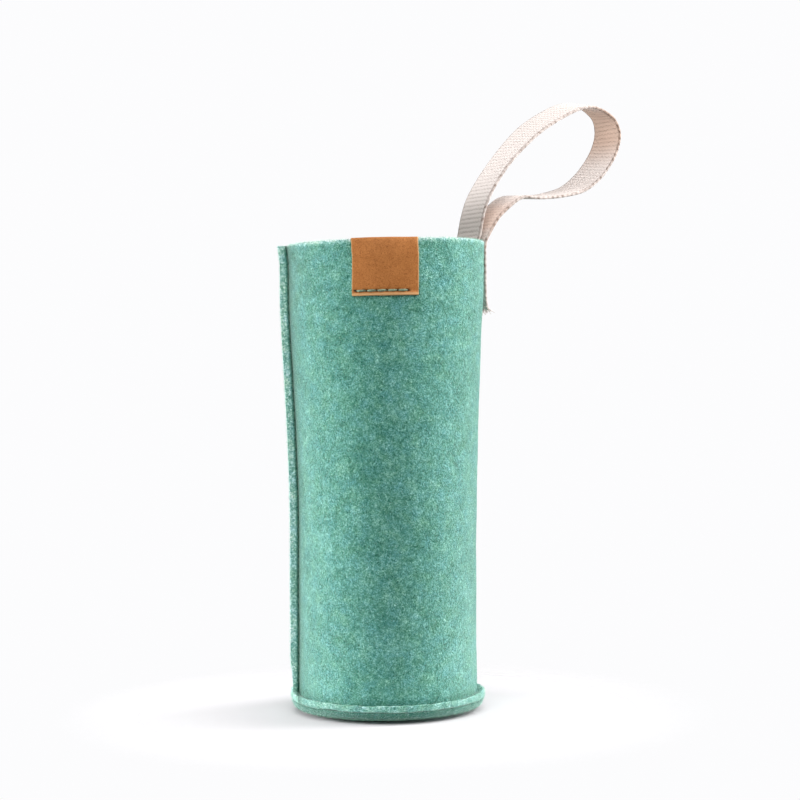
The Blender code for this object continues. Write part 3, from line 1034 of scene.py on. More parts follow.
@dataclass
class FeltPanel:
    """The wall, the fin and the turned-out bottom edge of the sleeve."""

    form: SleeveForm
    felt: bpy.types.Material
    leaf_columns: int = 10
    bend_columns: int = 7
    wall_step: float = math.radians(2.3)
    row_step: float = 0.0021
    rim_band: float = 0.003
    edge_rounding: float = 0.0007
    wall_lumps: tuple[Pair, ...] = ((0.00030, 45), (0.00010, 260))
    rim_lumps: tuple[Pair, ...] = ((0.00022, 180),)
    flange_lumps: tuple[Pair, ...] = ((0.00034, 110), (0.00020, 380))
    groove_depth: float = 0.0010
    groove_width: float = 0.00040
    near_rim: Ramp = Ramp(0.012, 0.012)
    label_top: Ramp = Ramp(0.008, 0.008)
    label_side: Ramp = Ramp(0.0154, 0.0012)
    label_dip: float = 0.0014
    label_pinch: float = 0.65
    foot: Ramp = Ramp(0.005, 0.005, 0.0006)
    flange_rounding: float = 0.0008
    flange_step: float = 0.0005
    flange_turns: int = 420
    flange_seam_in: float = 0.002
    flange_seam_depth: float = 0.0005
    flange_seam_width: float = 0.0007
    flange_outer: Ramp = Ramp(0.0, 0.004)
    front_drop: float = 0.0005
    side_rise: float = 0.0013
    corner_rise: float = 0.0016
    corner_width: float = 0.10
    edge_waves: tuple[Triple, ...] = ((0.00030, 7, 0), (0.00018, 19, 5))
    edge_dent: float = 0.00022
    edge_bulge: float = 0.00035
    # loose pale fibres and painted highlight along the rim, the fin and the top of the turned-out edge
    rim_fluff_highlight: Ramp = Ramp(0.0026, 0.0028, 0.9)
    leaf_fluff_highlight: Ramp = Ramp(-0.0004, 0.0008, 0.68)
    fin_fluff_highlight: Ramp = Ramp(0.0020, 0.0022, 0.5)
    fin_fluff_highlight_most: float = 0.72
    foot_fluff_highlight: Ramp = Ramp(0.0014, 0.0004, 0.52)
    flange_fluff_highlight: Ramp = Ramp(0.002, 0.0018)
    # painted shade: in the seam's groove, on the wall beside it, and in the crease above the turned-out edge
    groove_crease: float = 0.95
    groove_crease_width: float = 0.00030
    groove_shadow: float = 0.92
    groove_shadow_start: float = 0.0004
    groove_shadow_width: float = 0.0011
    groove_shadow_widening: float = 0.0007
    foot_crease: float = 0.8
    foot_crease_width: float = 0.0008
    foot_crease_reach: float = 0.0024

    def outline(self, z: float) -> list[Vector]:
        """The middle layer at one height, from the front leaf's edge round the tube to the back leaf's.

        Args:
            z: The height.

        Returns:
            The layer's points.
        """
        form = self.form
        radius = form.radius(form.fin_angle, z)
        turn = math.asin((form.leaf + form.fin_bend) / radius)
        root = radius * math.cos(turn) + form.fin_bend
        leaves = []
        for side in (1, -1):
            leaf = [(root + (form.fin_reach(z) - root) * (1 - k / self.leaf_columns), side * form.leaf)
                    for k in range(self.leaf_columns)]
            for k in range(self.bend_columns + 1):
                turned_by = math.radians(90) * k / self.bend_columns
                leaf.append((root - form.fin_bend * math.sin(turned_by),
                             side * (form.leaf + form.fin_bend * (1 - math.cos(turned_by)))))
            leaves.append([form.from_fin(reach, aside, z) for reach, aside in leaf])
        start, end = form.fin_angle + turn, form.fin_angle + math.tau - turn
        wall = [form.point(angle, z) for angle in spread(start, end, self.wall_step)[1:-1]]
        return leaves[0] + wall + leaves[1][::-1]

    def wall(self) -> bpy.types.Object:
        """The wall and fin, from the seam at the base to the cut rim, every row with as many points as the first.

        Returns:
            The wall.
        """
        form = self.form
        low = form.flange_bottom + form.felt / 2
        heights = spread(low, form.height - self.rim_band, self.row_step)
        heights += [form.height - self.rim_band + self.rim_band * t for t in (0.25, 0.5, 0.75, 1.0)]
        count = len(self.outline(low))
        rows = []
        for z in heights:
            row = self.outline(z)
            rows.append(row[:count] + [row[-1]] * (count - len(row)))
        piece = lofted("felt_wall", rows)
        thicken(piece, form.felt, self.edge_rounding)
        reshape(piece, self.soften)
        return piece

    def soften(self, place: Vector, normal: Vector) -> Vector:
        """Moves a point of the wall for the felt's lumps, the seam's groove and the rim's line.

        Args:
            place: The point.
            normal: The surface's normal there.

        Returns:
            Its new place.
        """
        form = self.form
        z = place.z
        moved = place + normal * lumps(place, self.wall_lumps)
        reach, side = form.to_fin(place)
        if reach > form.wall * 0.9 and abs(side) > form.felt * 0.62:
            pull = self.groove_depth * (0.86 + 0.14 * math.cos(math.tau * z / form.stitch))
            pull *= bell((reach - form.fin_seam_reach(z)) / self.groove_width)
            moved -= beside(form.outward(form.fin_angle)) * math.copysign(pull, side)
        near_rim = self.near_rim.at(z - form.height)
        moved.z += (form.rim(place.x) - form.height) * near_rim
        moved.z += lumps(place, self.rim_lumps) * near_rim
        if place.y < 0:
            level = place - form.centre(z)
            under = self.label_side.at(-abs(place.x - form.centre(z).x))
            top = self.label_top.at(z - form.height)
            moved.z -= self.label_dip * under * top
            moved += (form.point(bearing(level), z) - place) * self.label_pinch * under * top
        foot = self.foot.at(form.flange_top - z)
        if foot > 0:
            angle = bearing(place)
            moved -= form.outward(angle) * foot * self.dent(angle)
        return moved

    def dent(self, angle: float) -> float:
        """How deep the base seam's stitches pull at an angle, from 0 to 1.

        Args:
            angle: The direction from the Z axis.

        Returns:
            The pull's share.
        """
        form = self.form
        wander = 0.8 * waves(angle, 6, 3)
        return (0.5 + 0.5 * math.cos(angle * form.flange_radius / form.stitch * math.tau + wander)) ** 2

    def edge_height(self, angle: float) -> float:
        """How far the turned-out edge stands above its height at the front.

        Args:
            angle: The direction from the Z axis.

        Returns:
            The height.
        """
        sides = 0.5 - 0.5 * math.sin(-angle) ** 3
        corner = self.corner_rise * bell(math.remainder(angle - self.form.fin_angle, math.tau) / self.corner_width)
        wavy = sum(height * waves(angle, often, lane) for height, often, lane in self.edge_waves)
        return -self.front_drop + self.side_rise * sides + corner + wavy - self.edge_dent * self.dent(angle)

    @staticmethod
    def lifted(share: float) -> float:
        """How much of the turned-out edge's lift a point has, from 0 at its lower face to 1 at its upper one."""
        return 0.35 + 0.65 * share

    def flange(self) -> bpy.types.Object:
        """The turned-out bottom edge.

        Returns:
            The edge.
        """
        form = self.form
        inner, outer = form.wall + 0.0003, form.flange_radius + 0.0003
        low, top = form.flange_bottom, form.flange_top
        corners = (
            (inner, top - 0.001), (inner, low + 0.0001), (outer - 0.0004, low), (outer, top + 0.0003),
            (form.wall + 0.0019, top - 0.0005), (inner, top - 0.001),
        )
        outline = rounded(corners, self.flange_rounding, self.flange_step)[:-1]
        piece = turned("felt_flange", outline, self.flange_turns)
        reshape(piece, self.soften_flange)
        return piece

    def soften_flange(self, place: Vector, normal: Vector) -> Vector:
        """Moves a point of the turned-out edge for its waves, lumps and stitches.

        Args:
            place: The point.
            normal: The surface's normal there.

        Returns:
            Its new place.
        """
        form = self.form
        angle, radius = bearing(place), off_axis(place)
        outer = self.flange_outer.at(radius - form.wall)
        top = eased((place.z - form.flange_bottom) / form.felt)
        moved = place + normal * lumps(place, self.flange_lumps)
        moved.z += self.edge_height(angle) * outer * self.lifted(top)
        moved += form.outward(angle) * outer * self.edge_bulge * waves(angle, 11, 9)
        seam = bell((radius - form.flange_radius + self.flange_seam_in) / self.flange_seam_width) * top
        tight = 0.8 + 0.2 * math.cos(angle * form.wall / form.stitch * math.tau)
        moved.z -= self.flange_seam_depth * seam * tight
        return moved

    def fluff_highlight(self, place: Vector) -> float:
        """How loose and pale the felt is at a point, with painted highlight along its cut edges: fully at those edges.

        Args:
            place: The point.

        Returns:
            The share of loose pale fibres and painted highlight, from 0 to 1.
        """
        form = self.form
        reach, _ = form.to_fin(place)
        rim = self.rim_fluff_highlight.at(place.z - form.rim(place.x))
        fin = self.leaf_fluff_highlight.at(reach - form.fin_seam_reach(place.z))
        fin += self.fin_fluff_highlight.at(reach - form.fin_reach(place.z))
        foot = self.foot_fluff_highlight.at(form.flange_top - place.z)
        foot *= self.flange_fluff_highlight.at(off_axis(place) - form.flange_radius)
        patch = 0.75 + lumps(place, ((0.5, 260),))
        return max(rim, min(self.fin_fluff_highlight_most, fin), foot * patch)

    def painted_shade(self, place: Vector) -> float:
        """How much painted shade a point takes: in the seam's groove, on the wall beside it, and in the crease above
        the turned-out edge.

        Args:
            place: The point.

        Returns:
            The share of painted shade, from 0 to 1.
        """
        form = self.form
        reach, side = form.to_fin(place)
        inward = form.fin_seam_reach(place.z) - reach
        groove = self.groove_crease * bell(inward / self.groove_crease_width)
        groove *= form.felt * 0.3 < abs(side) < form.felt * 1.25
        width = self.groove_shadow_width + self.groove_shadow_widening * place.z / form.height
        shadow = self.groove_shadow * math.exp(-max(0.0, inward - self.groove_shadow_start) / width) * (inward > 0)
        angle = bearing(place)
        line = form.flange_top - 0.0002 + 0.5 * self.edge_height(angle)
        foot = self.foot_crease * bell((place.z - line) / self.foot_crease_width) * (0.55 + 0.45 * self.dent(angle))
        foot *= off_axis(place) < form.wall + self.foot_crease_reach
        return min(1.0, max(groove, shadow, foot))

    def build(self) -> bpy.types.Object:
        """The whole panel as one dressed piece.

        Returns:
            The piece.
        """
        piece = merged("felt_tube", [self.wall(), self.flange()])
        mark(piece, "fluff_highlight", self.fluff_highlight)
        mark(piece, "painted_shade", self.painted_shade)
        return place_piece(piece, self.felt, "green_felt", "felt_panel")


@dataclass
class FeltBase:
    """The round base under the turned-out edge."""

    form: SleeveForm
    felt: bpy.types.Material
    lift: float = 0.0022
    lift_width: float = 0.004
    undercut: float = 0.0015
    rounding: float = 0.0009
    step: float = 0.0012
    turns: int = 300
    edge_lumps: tuple[Pair, ...] = ((0.00020, 90), (0.00012, 320))
    outside: Ramp = Ramp(0.0, 0.003)
    edge_fluff: Ramp = Ramp(0.0015, 0.0012)
    # painted shade darkening the base's lifted edge, under the turned-out edge
    under_flange_shade: float = 0.62

    def build(self) -> bpy.types.Object:
        """The base as one dressed piece.

        Returns:
            The piece.
        """
        form = self.form
        rise, edge, felt = form.pocket_radius - self.lift_width, form.flange_radius, form.felt
        corners = (
            (0.0, 0.0), (rise, 0.0), (form.pocket_radius, self.lift), (edge - self.undercut, self.lift),
            (edge - 0.0001, self.lift + felt), (form.pocket_radius, self.lift + felt), (rise, felt), (0.0, felt),
        )
        piece = turned("felt_base_round", rounded(corners, self.rounding, self.step), self.turns)
        reshape(piece, self.soften)
        mark(piece, "fluff_highlight", self.fluff_highlight)
        # painted shade on the base's outer edge
        mark(piece, "painted_shade", lambda place: self.under_flange_shade * self.outer(place))
        return place_piece(piece, self.felt, "green_felt", "felt_base")

    def outer(self, place: Vector) -> float:
        """How surely a point lies outside the pocket, where the base is lifted and its edge takes painted shade, from
        0 to 1.
        """
        return self.outside.at(off_axis(place) - self.form.pocket_radius)

    def soften(self, place: Vector, normal: Vector) -> Vector:
        """Moves a point for the felt's lumps, but keeps the underside on the floor."""
        return place + normal * lumps(place, self.edge_lumps) * self.outer(place)

    def fluff_highlight(self, place: Vector) -> float:
        """How loose and pale the felt is at a point."""
        return self.edge_fluff.at(off_axis(place) - self.form.flange_radius) * (0.10 + lumps(place, ((0.2, 300),)))


@dataclass
class FeltFuzz:
    """Loose wool fibres that stand off the felt, most of them along its cut edges."""

    form: SleeveForm
    hair: bpy.types.Material
    radius: float = 0.000020
    edge_lengths: Pair = (0.0003, 0.0011)
    foot_lengths: Pair = (0.0003, 0.0010)
    wall_lengths: Pair = (0.0004, 0.0012)
    rim_leans: Pair = (0.1, 0.8)
    edge_leans: Pair = (0.1, 0.7)
    wall_leans: Pair = (0.6, 0.95)
    lowest: float = 0.010
    curl: float = 0.35
    under_label: float = 0.0146
    fin_clear: float = 0.13
    flange_share: float = 0.65
    counts: tuple[int, int, int, int] = (9000, 5000, 9000, 9000)
    seed: int = 11
    chance: np.random.Generator = field(init=False)

    def __post_init__(self) -> None:
        """Starts the fibres' own fixed random order."""
        self.chance = np.random.default_rng(self.seed)

    def pairs(self, first: Pair, second: Pair, count: int) -> Iterable[Pair]:
        """Random pairs of values, each between its two ends."""
        return zip(self.chance.uniform(*first, count), self.chance.uniform(*second, count))

    def fibre(self, root: Vector, normal: Vector, lengths: Pair, leans: Pair) -> Strand:
        """One curled fibre.

        Args:
            root: Where it leaves the felt.
            normal: The felt's normal there.
            lengths: Its least and greatest length.
            leans: How far it leans to a random side, at least and at most, from 0, straight up, to 1.

        Returns:
            Its points and their share of the fibre's radius.
        """
        length, lean = self.chance.uniform(*lengths), self.chance.uniform(*leans)
        aside = Vector(self.chance.normal(size=3))
        aside = (aside - normal * aside.dot(normal)).normalized()
        curl = Vector(self.chance.normal(size=3)) * self.curl
        start = (normal * (1 - lean) + aside * lean).normalized()
        middle = root + start * length * 0.5
        tip = middle + (start + curl).normalized() * length * 0.5
        return [(root - normal * 0.0001, 1.0), (middle, 0.85), (tip, 0.3)]

    def rim(self, count: int) -> list[Strand]:
        """Fibres along the cut rim, apart from the label's place.

        Args:
            count: How many places are tried.

        Returns:
            The fibres.
        """
        runs = []
        form = self.form
        for angle, across in self.pairs((0, math.tau), (-1, 1), count):
            out = form.normal(angle, form.height)
            place = form.point(angle, form.height, across * form.felt / 2)
            place.z = form.rim(place.x) - 0.0008 * abs(across) ** 6
            if place.y < 0 and abs(place.x - form.centre(form.height).x) < self.under_label:
                continue
            normal = (above(1) + out * across**3 * 1.2).normalized()
            runs.append(self.fibre(place, normal, self.edge_lengths, self.rim_leans))
        return runs

    def fin(self, count: int) -> list[Strand]:
        """Fibres along the fin's cut edges.

        Args:
            count: How many there are.

        Returns:
            The fibres.
        """
        runs = []
        form = self.form
        out = form.outward(form.fin_angle)
        for z, across in self.pairs((self.lowest, form.height), (-1, 1), count):
            aside = form.leaf + across * form.felt / 2 * 0.95
            side = 1 if self.chance.random() < 0.5 else -1
            place = form.from_fin(form.fin_reach(z) - 0.0002, side * aside, z)
            normal = (out + beside(out) * side * max(0.0, across) ** 3).normalized()
            runs.append(self.fibre(place, normal, self.edge_lengths, self.edge_leans))
        return runs

    def foot(self, panel: FeltPanel, base: FeltBase, count: int) -> list[Strand]:
        """Fibres along the cut edges of the turned-out edge and the base.

        Args:
            panel: The felt panel, for the line of its turned-out edge.
            base: The felt base, for the line of its own.
            count: How many there are.

        Returns:
            The fibres.
        """
        runs = []
        form = self.form
        for angle, share in self.pairs((0, math.tau), (0, 1), count):
            out = form.outward(angle)
            if self.chance.random() < self.flange_share:
                z = form.flange_bottom + form.felt * share + panel.edge_height(angle) * panel.lifted(share)
                place = out * (form.flange_radius + 0.0001) + above(z)
            else:
                place = out * (form.flange_radius - base.undercut * (1 - share)) + above(base.lift + form.felt * share)
            normal = (out + above((share - 0.5) * 0.8)).normalized()
            runs.append(self.fibre(place, normal, self.foot_lengths, self.edge_leans))
        return runs

    def wall(self, count: int) -> list[Strand]:
        """Sparse fibres over the wall, apart from the fin's place.

        Args:
            count: How many places are tried.

        Returns:
            The fibres.
        """
        runs = []
        form = self.form
        for angle, z in self.pairs((0, math.tau), (self.lowest, form.height), count):
            if abs(math.remainder(angle - form.fin_angle, math.tau)) < self.fin_clear:
                continue
            normal = form.normal(angle, z)
            place = form.point(angle, z, form.felt / 2)
            runs.append(self.fibre(place, normal, self.wall_lengths, self.wall_leans))
        return runs

    def build(self, panel: FeltPanel, base: FeltBase) -> list[bpy.types.Object]:
        """All the fibres, one piece for each place they stand.

        Args:
            panel: The felt panel, for the line of its turned-out edge.
            base: The felt base, for the line of its own.

        Returns:
            The dressed pieces.
        """
        rim, fin, foot, wall = self.counts
        runs = {
            "rim_fibres": self.rim(rim), "fin_fibres": self.fin(fin), "foot_fibres": self.foot(panel, base, foot),
            "wall_fibres": self.wall(wall),
        }
        return [place_piece(strands(name, lines, self.radius), self.hair, "green_felt")
                for name, lines in runs.items()]


# ------------------------------------------------------------------------------------------ label


@dataclass
class TabLabel:
    """The bare tan label folded over the front of the rim and stitched near its lower edge."""

    form: SleeveForm
    leather: bpy.types.Material
    thread: bpy.types.Material
    width: float = 0.0291
    drop: float = 0.0245
    thickness: float = 0.0010
    fold: float = 0.0080
    fold_squareness: float = 0.62
    gap: float = 0.00012
    rise: float = 0.0003
    shift: float = -0.0001
    slope: float = 0.008
    step: float = 0.0006
    lip: Ramp = Ramp(0.0022, 0.0022, 0.00055)
    side_edge: Ramp = Ramp(0.0005, 0.0004, 0.8)
    low_edge: Ramp = Ramp(0.0014, 0.0005, 0.62)
    # painted shade round each needle hole
    needle_hole: Ramp = Ramp(1.25, 0.5)
    needle_size: Triple = (0.00085, 0.00065, 0.002)
    edge_rounding: float = 0.00016
    seam_height: float = 0.0021
    seam_start: float = 0.0016
    stitch: float = 0.0046
    stitches: int = 5
    thread_radius: float = 0.000480
    bobbin_radius: float = 0.00024
    bobbin_sag: float = 0.0003
    furrow: Pair = (0.00022, 0.0009)
    pucker: Pair = (0.00035, 0.0007)
    wrinkles: tuple[Pair, ...] = ((0.00010, 140),)
    holes: list[Vector] = field(init=False)

    def __post_init__(self) -> None:
        """Finds the needle holes' places."""
        self.holes = [self.seam_place(k)[0] for k in range(self.stitches + 1)]

    def profile(self) -> list[Pair]:
        """The middle layer from the outer flap's edge over the rim to the inner flap's edge.

        Returns:
            For each point, how far off the wall's middle layer it lies, and its height.
        """
        form = self.form
        side = form.felt / 2 + self.gap + self.thickness / 2
        low, top = form.height - self.drop, form.height + self.rise
        bend = top - self.fold
        outer = [(side, z) for z in spread(low, bend, self.step)]
        over = [(side * math.copysign(abs(math.cos(t)) ** self.fold_squareness, math.cos(t)),
                 bend + self.fold * math.sin(t)) for t in spread(0.0, math.pi, 0.13)]
        return outer + over[1:-1] + [(-offset, z) for offset, z in outer[::-1]]

    def build(self) -> bpy.types.Object:
        """The folded sheet as one dressed piece.

        Returns:
            The piece.
        """
        form = self.form
        low = form.height - self.drop
        rows = []
        across = spread(-self.width / 2, self.width / 2, self.step)
        for offset, z in self.profile():
            lip = self.lip.at(low - z) * (offset > 0)
            row = [(x, form.front(self.shift + x, min(z, form.height), offset + lip)[0]) for x in across]
            rows.append([Vector((point.x, point.y, z + self.slope * x)) for x, point in row])
        piece = lofted("tab_fold", rows)
        thicken(piece, self.thickness, self.edge_rounding, 50.0)
        reshape(piece, self.soften)
        mark(piece, "edge", self.edge)
        mark(piece, "hole", self.hole)
        return place_piece(piece, self.leather, "tan_label", "tab_label")

    def seam_place(self, index: int) -> tuple[Vector, Vector]:
        """A needle hole's place on the outer face, and the face's normal.

        Args:
            index: Which hole, from the left.

        Returns:
            The place and the normal.
        """
        form = self.form
        x = -self.width / 2 + self.seam_start + self.stitch * index
        z = form.height - self.drop + self.seam_height + self.slope * x
        offset = form.felt / 2 + self.gap + self.thickness
        return form.front(self.shift + x, z, offset)

    def soften(self, place: Vector, normal: Vector) -> Vector:
        """Sinks the leather along the stitches and wrinkles it slightly.

        Args:
            place: The point.
            normal: The surface's normal there.

        Returns:
            The point's new place.
        """
        row = self.form.height - self.drop + self.seam_height + self.slope * place.x
        depth, width = self.furrow
        sunk = depth * bell((place.z - row) / width)
        depth, width = self.pucker
        sunk += sum(depth * bell((place - hole).length / width) for hole in self.holes)
        front = place.y < self.form.front(self.shift, place.z, self.form.felt / 2)[0].y + 0.004
        return place + normal * (lumps(place, self.wrinkles) - (sunk if front and normal.y < -0.3 else 0.0))

    def edge(self, place: Vector) -> float:
        """How near a cut edge a point lies.

        Args:
            place: The point.

        Returns:
            The nearness, from 0 to 1.
        """
        x = place.x - self.form.centre(place.z).x - self.shift
        low = self.form.height - self.drop + self.slope * x
        return max(self.side_edge.at(abs(x) - self.width / 2), self.low_edge.at(low - place.z))

    def hole(self, place: Vector) -> float:
        """How much painted shade a point takes from the needle holes, by how near one it lies.

        Args:
            place: The point.

        Returns:
            The share of painted shade, from 0 to 1.
        """
        long, high, deep = self.needle_size
        gaps = [place - hole for hole in self.holes]
        nearest = min(math.hypot((gap.x + gap.z * 0.9) / long, gap.z / high, gap.y / deep) for gap in gaps)
        return self.needle_hole.at(-nearest)

    def sew(self) -> list[bpy.types.Object]:
        """The two-ply needle thread on the outer flap and the bobbin thread on the inner flap.

        Returns:
            The two dressed pieces.
        """
        runs, back = [], []
        for index in range(self.stitches):
            start, normal = self.seam_place(index)
            end, _ = self.seam_place(index + 1)
            for ply in (0.0, math.pi):
                runs.append(self.ply(start, end, normal, ply))
        inner = -(self.form.felt + 2 * (self.thickness + self.bobbin_sag))
        for index in range(self.stitches + 1):
            place, normal = self.seam_place(index)
            back.append((place + normal * (inner - 0.0001), 1.0))
            if index < self.stitches:
                after, ahead = self.seam_place(index + 1)
                back.append(((place + after) / 2 + (normal + ahead) / 2 * (inner - 0.0004), 1.0))
        top = strands("label_needle_stitches", runs, self.thread_radius, 2)
        under = strands("label_bobbin_stitches", [back], self.bobbin_radius, 1)
        return [place_piece(top, self.thread, "seam_thread", "label_seam_needle_thread"),
                place_piece(under, self.thread, "seam_thread", "label_seam_bobbin_thread")]

    def ply(self, start: Vector, end: Vector, normal: Vector, turn: float) -> Strand:
        """One of a stitch's two twisted strands.

        Args:
            start: The hole where it comes up.
            end: The hole where it goes down.
            normal: The leather's normal.
            turn: The strand's start angle in the twist.

        Returns:
            Its points and their share of the thread's radius.
        """
        aside = (end - start).normalized().cross(normal)
        run = []
        for t in spread(0.09, 0.91, 0.04):
            arch = math.sin(math.pi * t) ** 0.9
            angle = turn + (0.25 + 0.5 * t) * math.pi
            twist = (aside * math.cos(angle) + normal * math.sin(angle) * 0.6) * 0.00026 * arch
            lift = normal * (0.00036 * arch - 0.0006 * (1 - arch) ** 2 - 0.00018)
            run.append((start.lerp(end, t) + lift + twist, 0.25 + 0.80 * arch))
        dip = normal * 0.0016
        return [(run[0][0] - dip, 0.5), *run, (run[-1][0] - dip, 0.5)]


# ------------------------------------------------------------------------------------------ strap


@dataclass
class CarryStrap:
    """One length of webbing: sewn inside the wall, up and round the carry loop, and sewn outside the wall."""

    form: SleeveForm
    cotton: bpy.types.Material
    yarn: bpy.types.Material
    width: float = 0.017
    thickness: float = 0.0015
    edge: float = 0.0006
    step: float = 0.00035
    rib: float = 0.0021
    edge_rib: float = 0.0029
    within_edges: Ramp = Ramp(-0.0016, 0.0004)
    rib_relief: float = 0.00005
    cord_relief: float = 0.00003
    tail_gap: float = 0.0001
    forward: float = 0.0005
    bend_start: float = -0.001
    bend_end: float = 0.014
    # painted shade: grey low on the legs, and warm tan in the turn and over the outer root
    grey_outside: float = 0.10
    grey_loop: float = 0.55
    grey_height: float = 0.034
    outer_root: Ramp = Ramp(-0.0015, 0.001)
    low_root: Ramp = Ramp(0.024, 0.008)
    far_turn: Ramp = Ramp(-0.062, 0.018)
    high_turn: Ramp = Ramp(-0.038, 0.018)
    tan_turn: float = 0.70
    tan_root: float = 0.45
    fray_radius: float = 0.00016
    fray_lengths: Pair = (0.0010, 0.0042)
    route: tuple[Triple, ...] = (
        (-0.0018, 0.0016, 0), (-0.0004, 0.0052, 0), (0.0004, 0.0088, 0), (0.0019, 0.0146, 0), (0.0049, 0.0220, -1),
        (0.0104, 0.0304, -1), (0.0181, 0.0396, -2), (0.0266, 0.0480, -6), (0.0358, 0.0557, -10),
        (0.0443, 0.0611, -12), (0.0531, 0.0657, -12.5), (0.0604, 0.0688, -12.5), (0.0672, 0.0703, -12),
        (0.0732, 0.0698, -11.6), (0.0788, 0.0678, -10), (0.0834, 0.0643, -5.8), (0.0854, 0.0577, 4.2),
        (0.0832, 0.0500, 9.3), (0.0782, 0.0426, 11.4), (0.0711, 0.0355, 11.7), (0.0619, 0.0297, 10.1),
        (0.0503, 0.0265, 7.8), (0.0404, 0.0249, 6.4), (0.0335, 0.0244, 5.5), (0.0275, 0.0244, 4.5),
        (0.0228, 0.0230, 3.7), (0.0186, 0.0203, 3.1), (0.0146, 0.0172, 2.5), (0.0109, 0.0139, 1.7),
        (0.0078, 0.0100, 1), (0.0050, 0.0058, 0.5), (0.0031, 0.0025, 0),
    )
    out: Vector = field(init=False)
    aside: Vector = field(init=False)
    foot: Vector = field(init=False)
    drop: float = field(init=False)
    length: float = field(init=False)

    def __post_init__(self) -> None:
        """Finds the strap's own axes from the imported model."""
        form = self.form
        self.out = form.outward(form.strap_angle)
        self.aside = beside(self.out)
        low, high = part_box("strap_tail_inner")
        middle = (low + high) / 2
        self.foot = self.out * form.facet(form.height) + self.aside * (middle.dot(self.aside) - self.forward)
        self.foot.z = form.height
        self.drop = high.z - low.z

    def line(self) -> list[Vector]:
        """The webbing's middle line from the inner tail's end to the outer tail's end.

        Returns:
            For each point, its place in the strap's plane and, in degrees, the webbing's twist.
        """
        tail = self.form.felt / 2 + self.tail_gap + self.thickness / 2
        inner = [(-tail, -self.drop * share, 0) for share in (1.0, 0.6, 0.25, 0.08, 0.02)]
        outer = [(tail, -self.drop * share, 0) for share in (0.04, 0.15, 0.4, 0.7)]
        flare = [(tail + 0.0002, -self.drop * 0.85, 0), (tail + 0.0007, -self.drop * 0.96, 0),
                 (tail + 0.0010, -self.drop, 0)]
        return evenly(smooth_route([*inner, *self.route, *outer, *flare], 8), self.step)

    def section(self, along: float) -> list[Triple]:
        """The webbing's outline across its width.

        Args:
            along: The place along the webbing.

        Returns:
            For each point of the ring, its place across, its height, and its place across the cloth.
        """
        half = self.width / 2
        ribs = 0.5 + 0.5 * math.cos(math.tau * along / self.rib)
        face = []
        for a in spread(-half + self.edge, half - self.edge, 0.0006):
            within = self.within_edges.at(half - abs(a))
            cord = 0.5 + 0.5 * math.cos(math.tau * (along / self.edge_rib + (half - abs(a)) / 0.0026))
            relief = self.rib_relief * ribs * within + self.cord_relief * cord * (1 - within)
            face.append((a, self.thickness / 2 - 0.0001 + relief))
        ends = []
        for sign in (1, -1):
            cord = 0.5 + 0.5 * math.cos(math.tau * along / self.edge_rib + (1 - sign))
            reach = self.edge + 0.00008 * (cord - 0.5)
            ends.append([(sign * (half - self.edge + reach * math.sin(t)), self.thickness / 2 * 0.93 * math.cos(t))
                         for t in spread(0.0, math.pi, 0.5)[1:-1]])
        ring = face + ends[0] + [(a, -h) for a, h in face[::-1]] + [(a, -h) for a, h in ends[1]]
        ring.append(ring[0])
        return [(a, h, min(max(a + half, 0.0), self.width)) for a, h in ring]

    def build(self) -> bpy.types.Object:
        """The webbing as one dressed piece.

        Returns:
            The piece.
        """
        line = self.line()
        rows, flat = [], []
        for k, middle in enumerate(line):
            ahead = line[min(k + 1, len(line) - 1)] - line[max(k - 1, 0)]
            ahead = Vector((ahead.x, ahead.y)).normalized()
            inside = self.out * ahead.y - above(ahead.x)
            twist = math.radians(middle.z)
            across = self.aside * math.cos(twist) + inside * math.sin(twist)
            normal = self.aside * math.sin(twist) - inside * math.cos(twist)
            centre = self.foot + self.out * middle.x + above(middle.y)
            along = k * self.step
            ring = self.section(along)
            rows.append([centre + across * a + normal * h for a, h, _ in ring])
            flat.append([(u, along) for _, _, u in ring])
        piece = lofted("carry_webbing", rows, flat, closed=True)
        mark(piece, "painted_grey_shade", self.painted_grey_shade)
        mark(piece, "painted_warm_shade", self.painted_warm_shade)
        piece.data.materials.append(self.cotton)
        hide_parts("strap_loop", "strap_tail_inner", "strap_tail_outer")
        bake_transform(piece)
        self.length = (len(line) - 1) * self.step
        return piece

    def over_root(self, place: Vector) -> float:
        """How surely a point lies on the loop's outer leg just over the rim, from 0 to 1.

        Args:
            place: The point.

        Returns:
            The certainty, from 0 to 1.
        """
        rise = place.z - self.form.height
        reach = (place - self.foot).dot(self.out)
        return self.outer_root.at(reach - 0.45 * rise) * self.low_root.at(-rise) * (rise > self.bend_start)

    def painted_grey_shade(self, place: Vector) -> float:
        """How much painted shade greys the cloth at a point: most on the inner leg low over the rim, where the rim
        keeps the light off, least on the outer tail.

        Args:
            place: The point.

        Returns:
            The share of painted grey shade.
        """
        rise = place.z - self.form.height
        outside = place.z < self.form.height + self.bend_start and (place - self.foot).dot(self.out) > 0
        grey = self.grey_outside if outside else self.grey_loop
        return grey * eased(1 - rise / self.grey_height) * (1 - self.over_root(place))

    def painted_warm_shade(self, place: Vector) -> float:
        """How much painted warm shade tans the cloth at a point: in the turn and over the outer root.

        Args:
            place: The point.

        Returns:
            The share of painted warm shade.
        """
        rise = place.z - self.form.height
        reach = (place - self.foot).dot(self.out)
        turn = self.far_turn.at(reach) * self.high_turn.at(rise)
        return max(self.tan_turn * turn, self.tan_root * self.over_root(place))

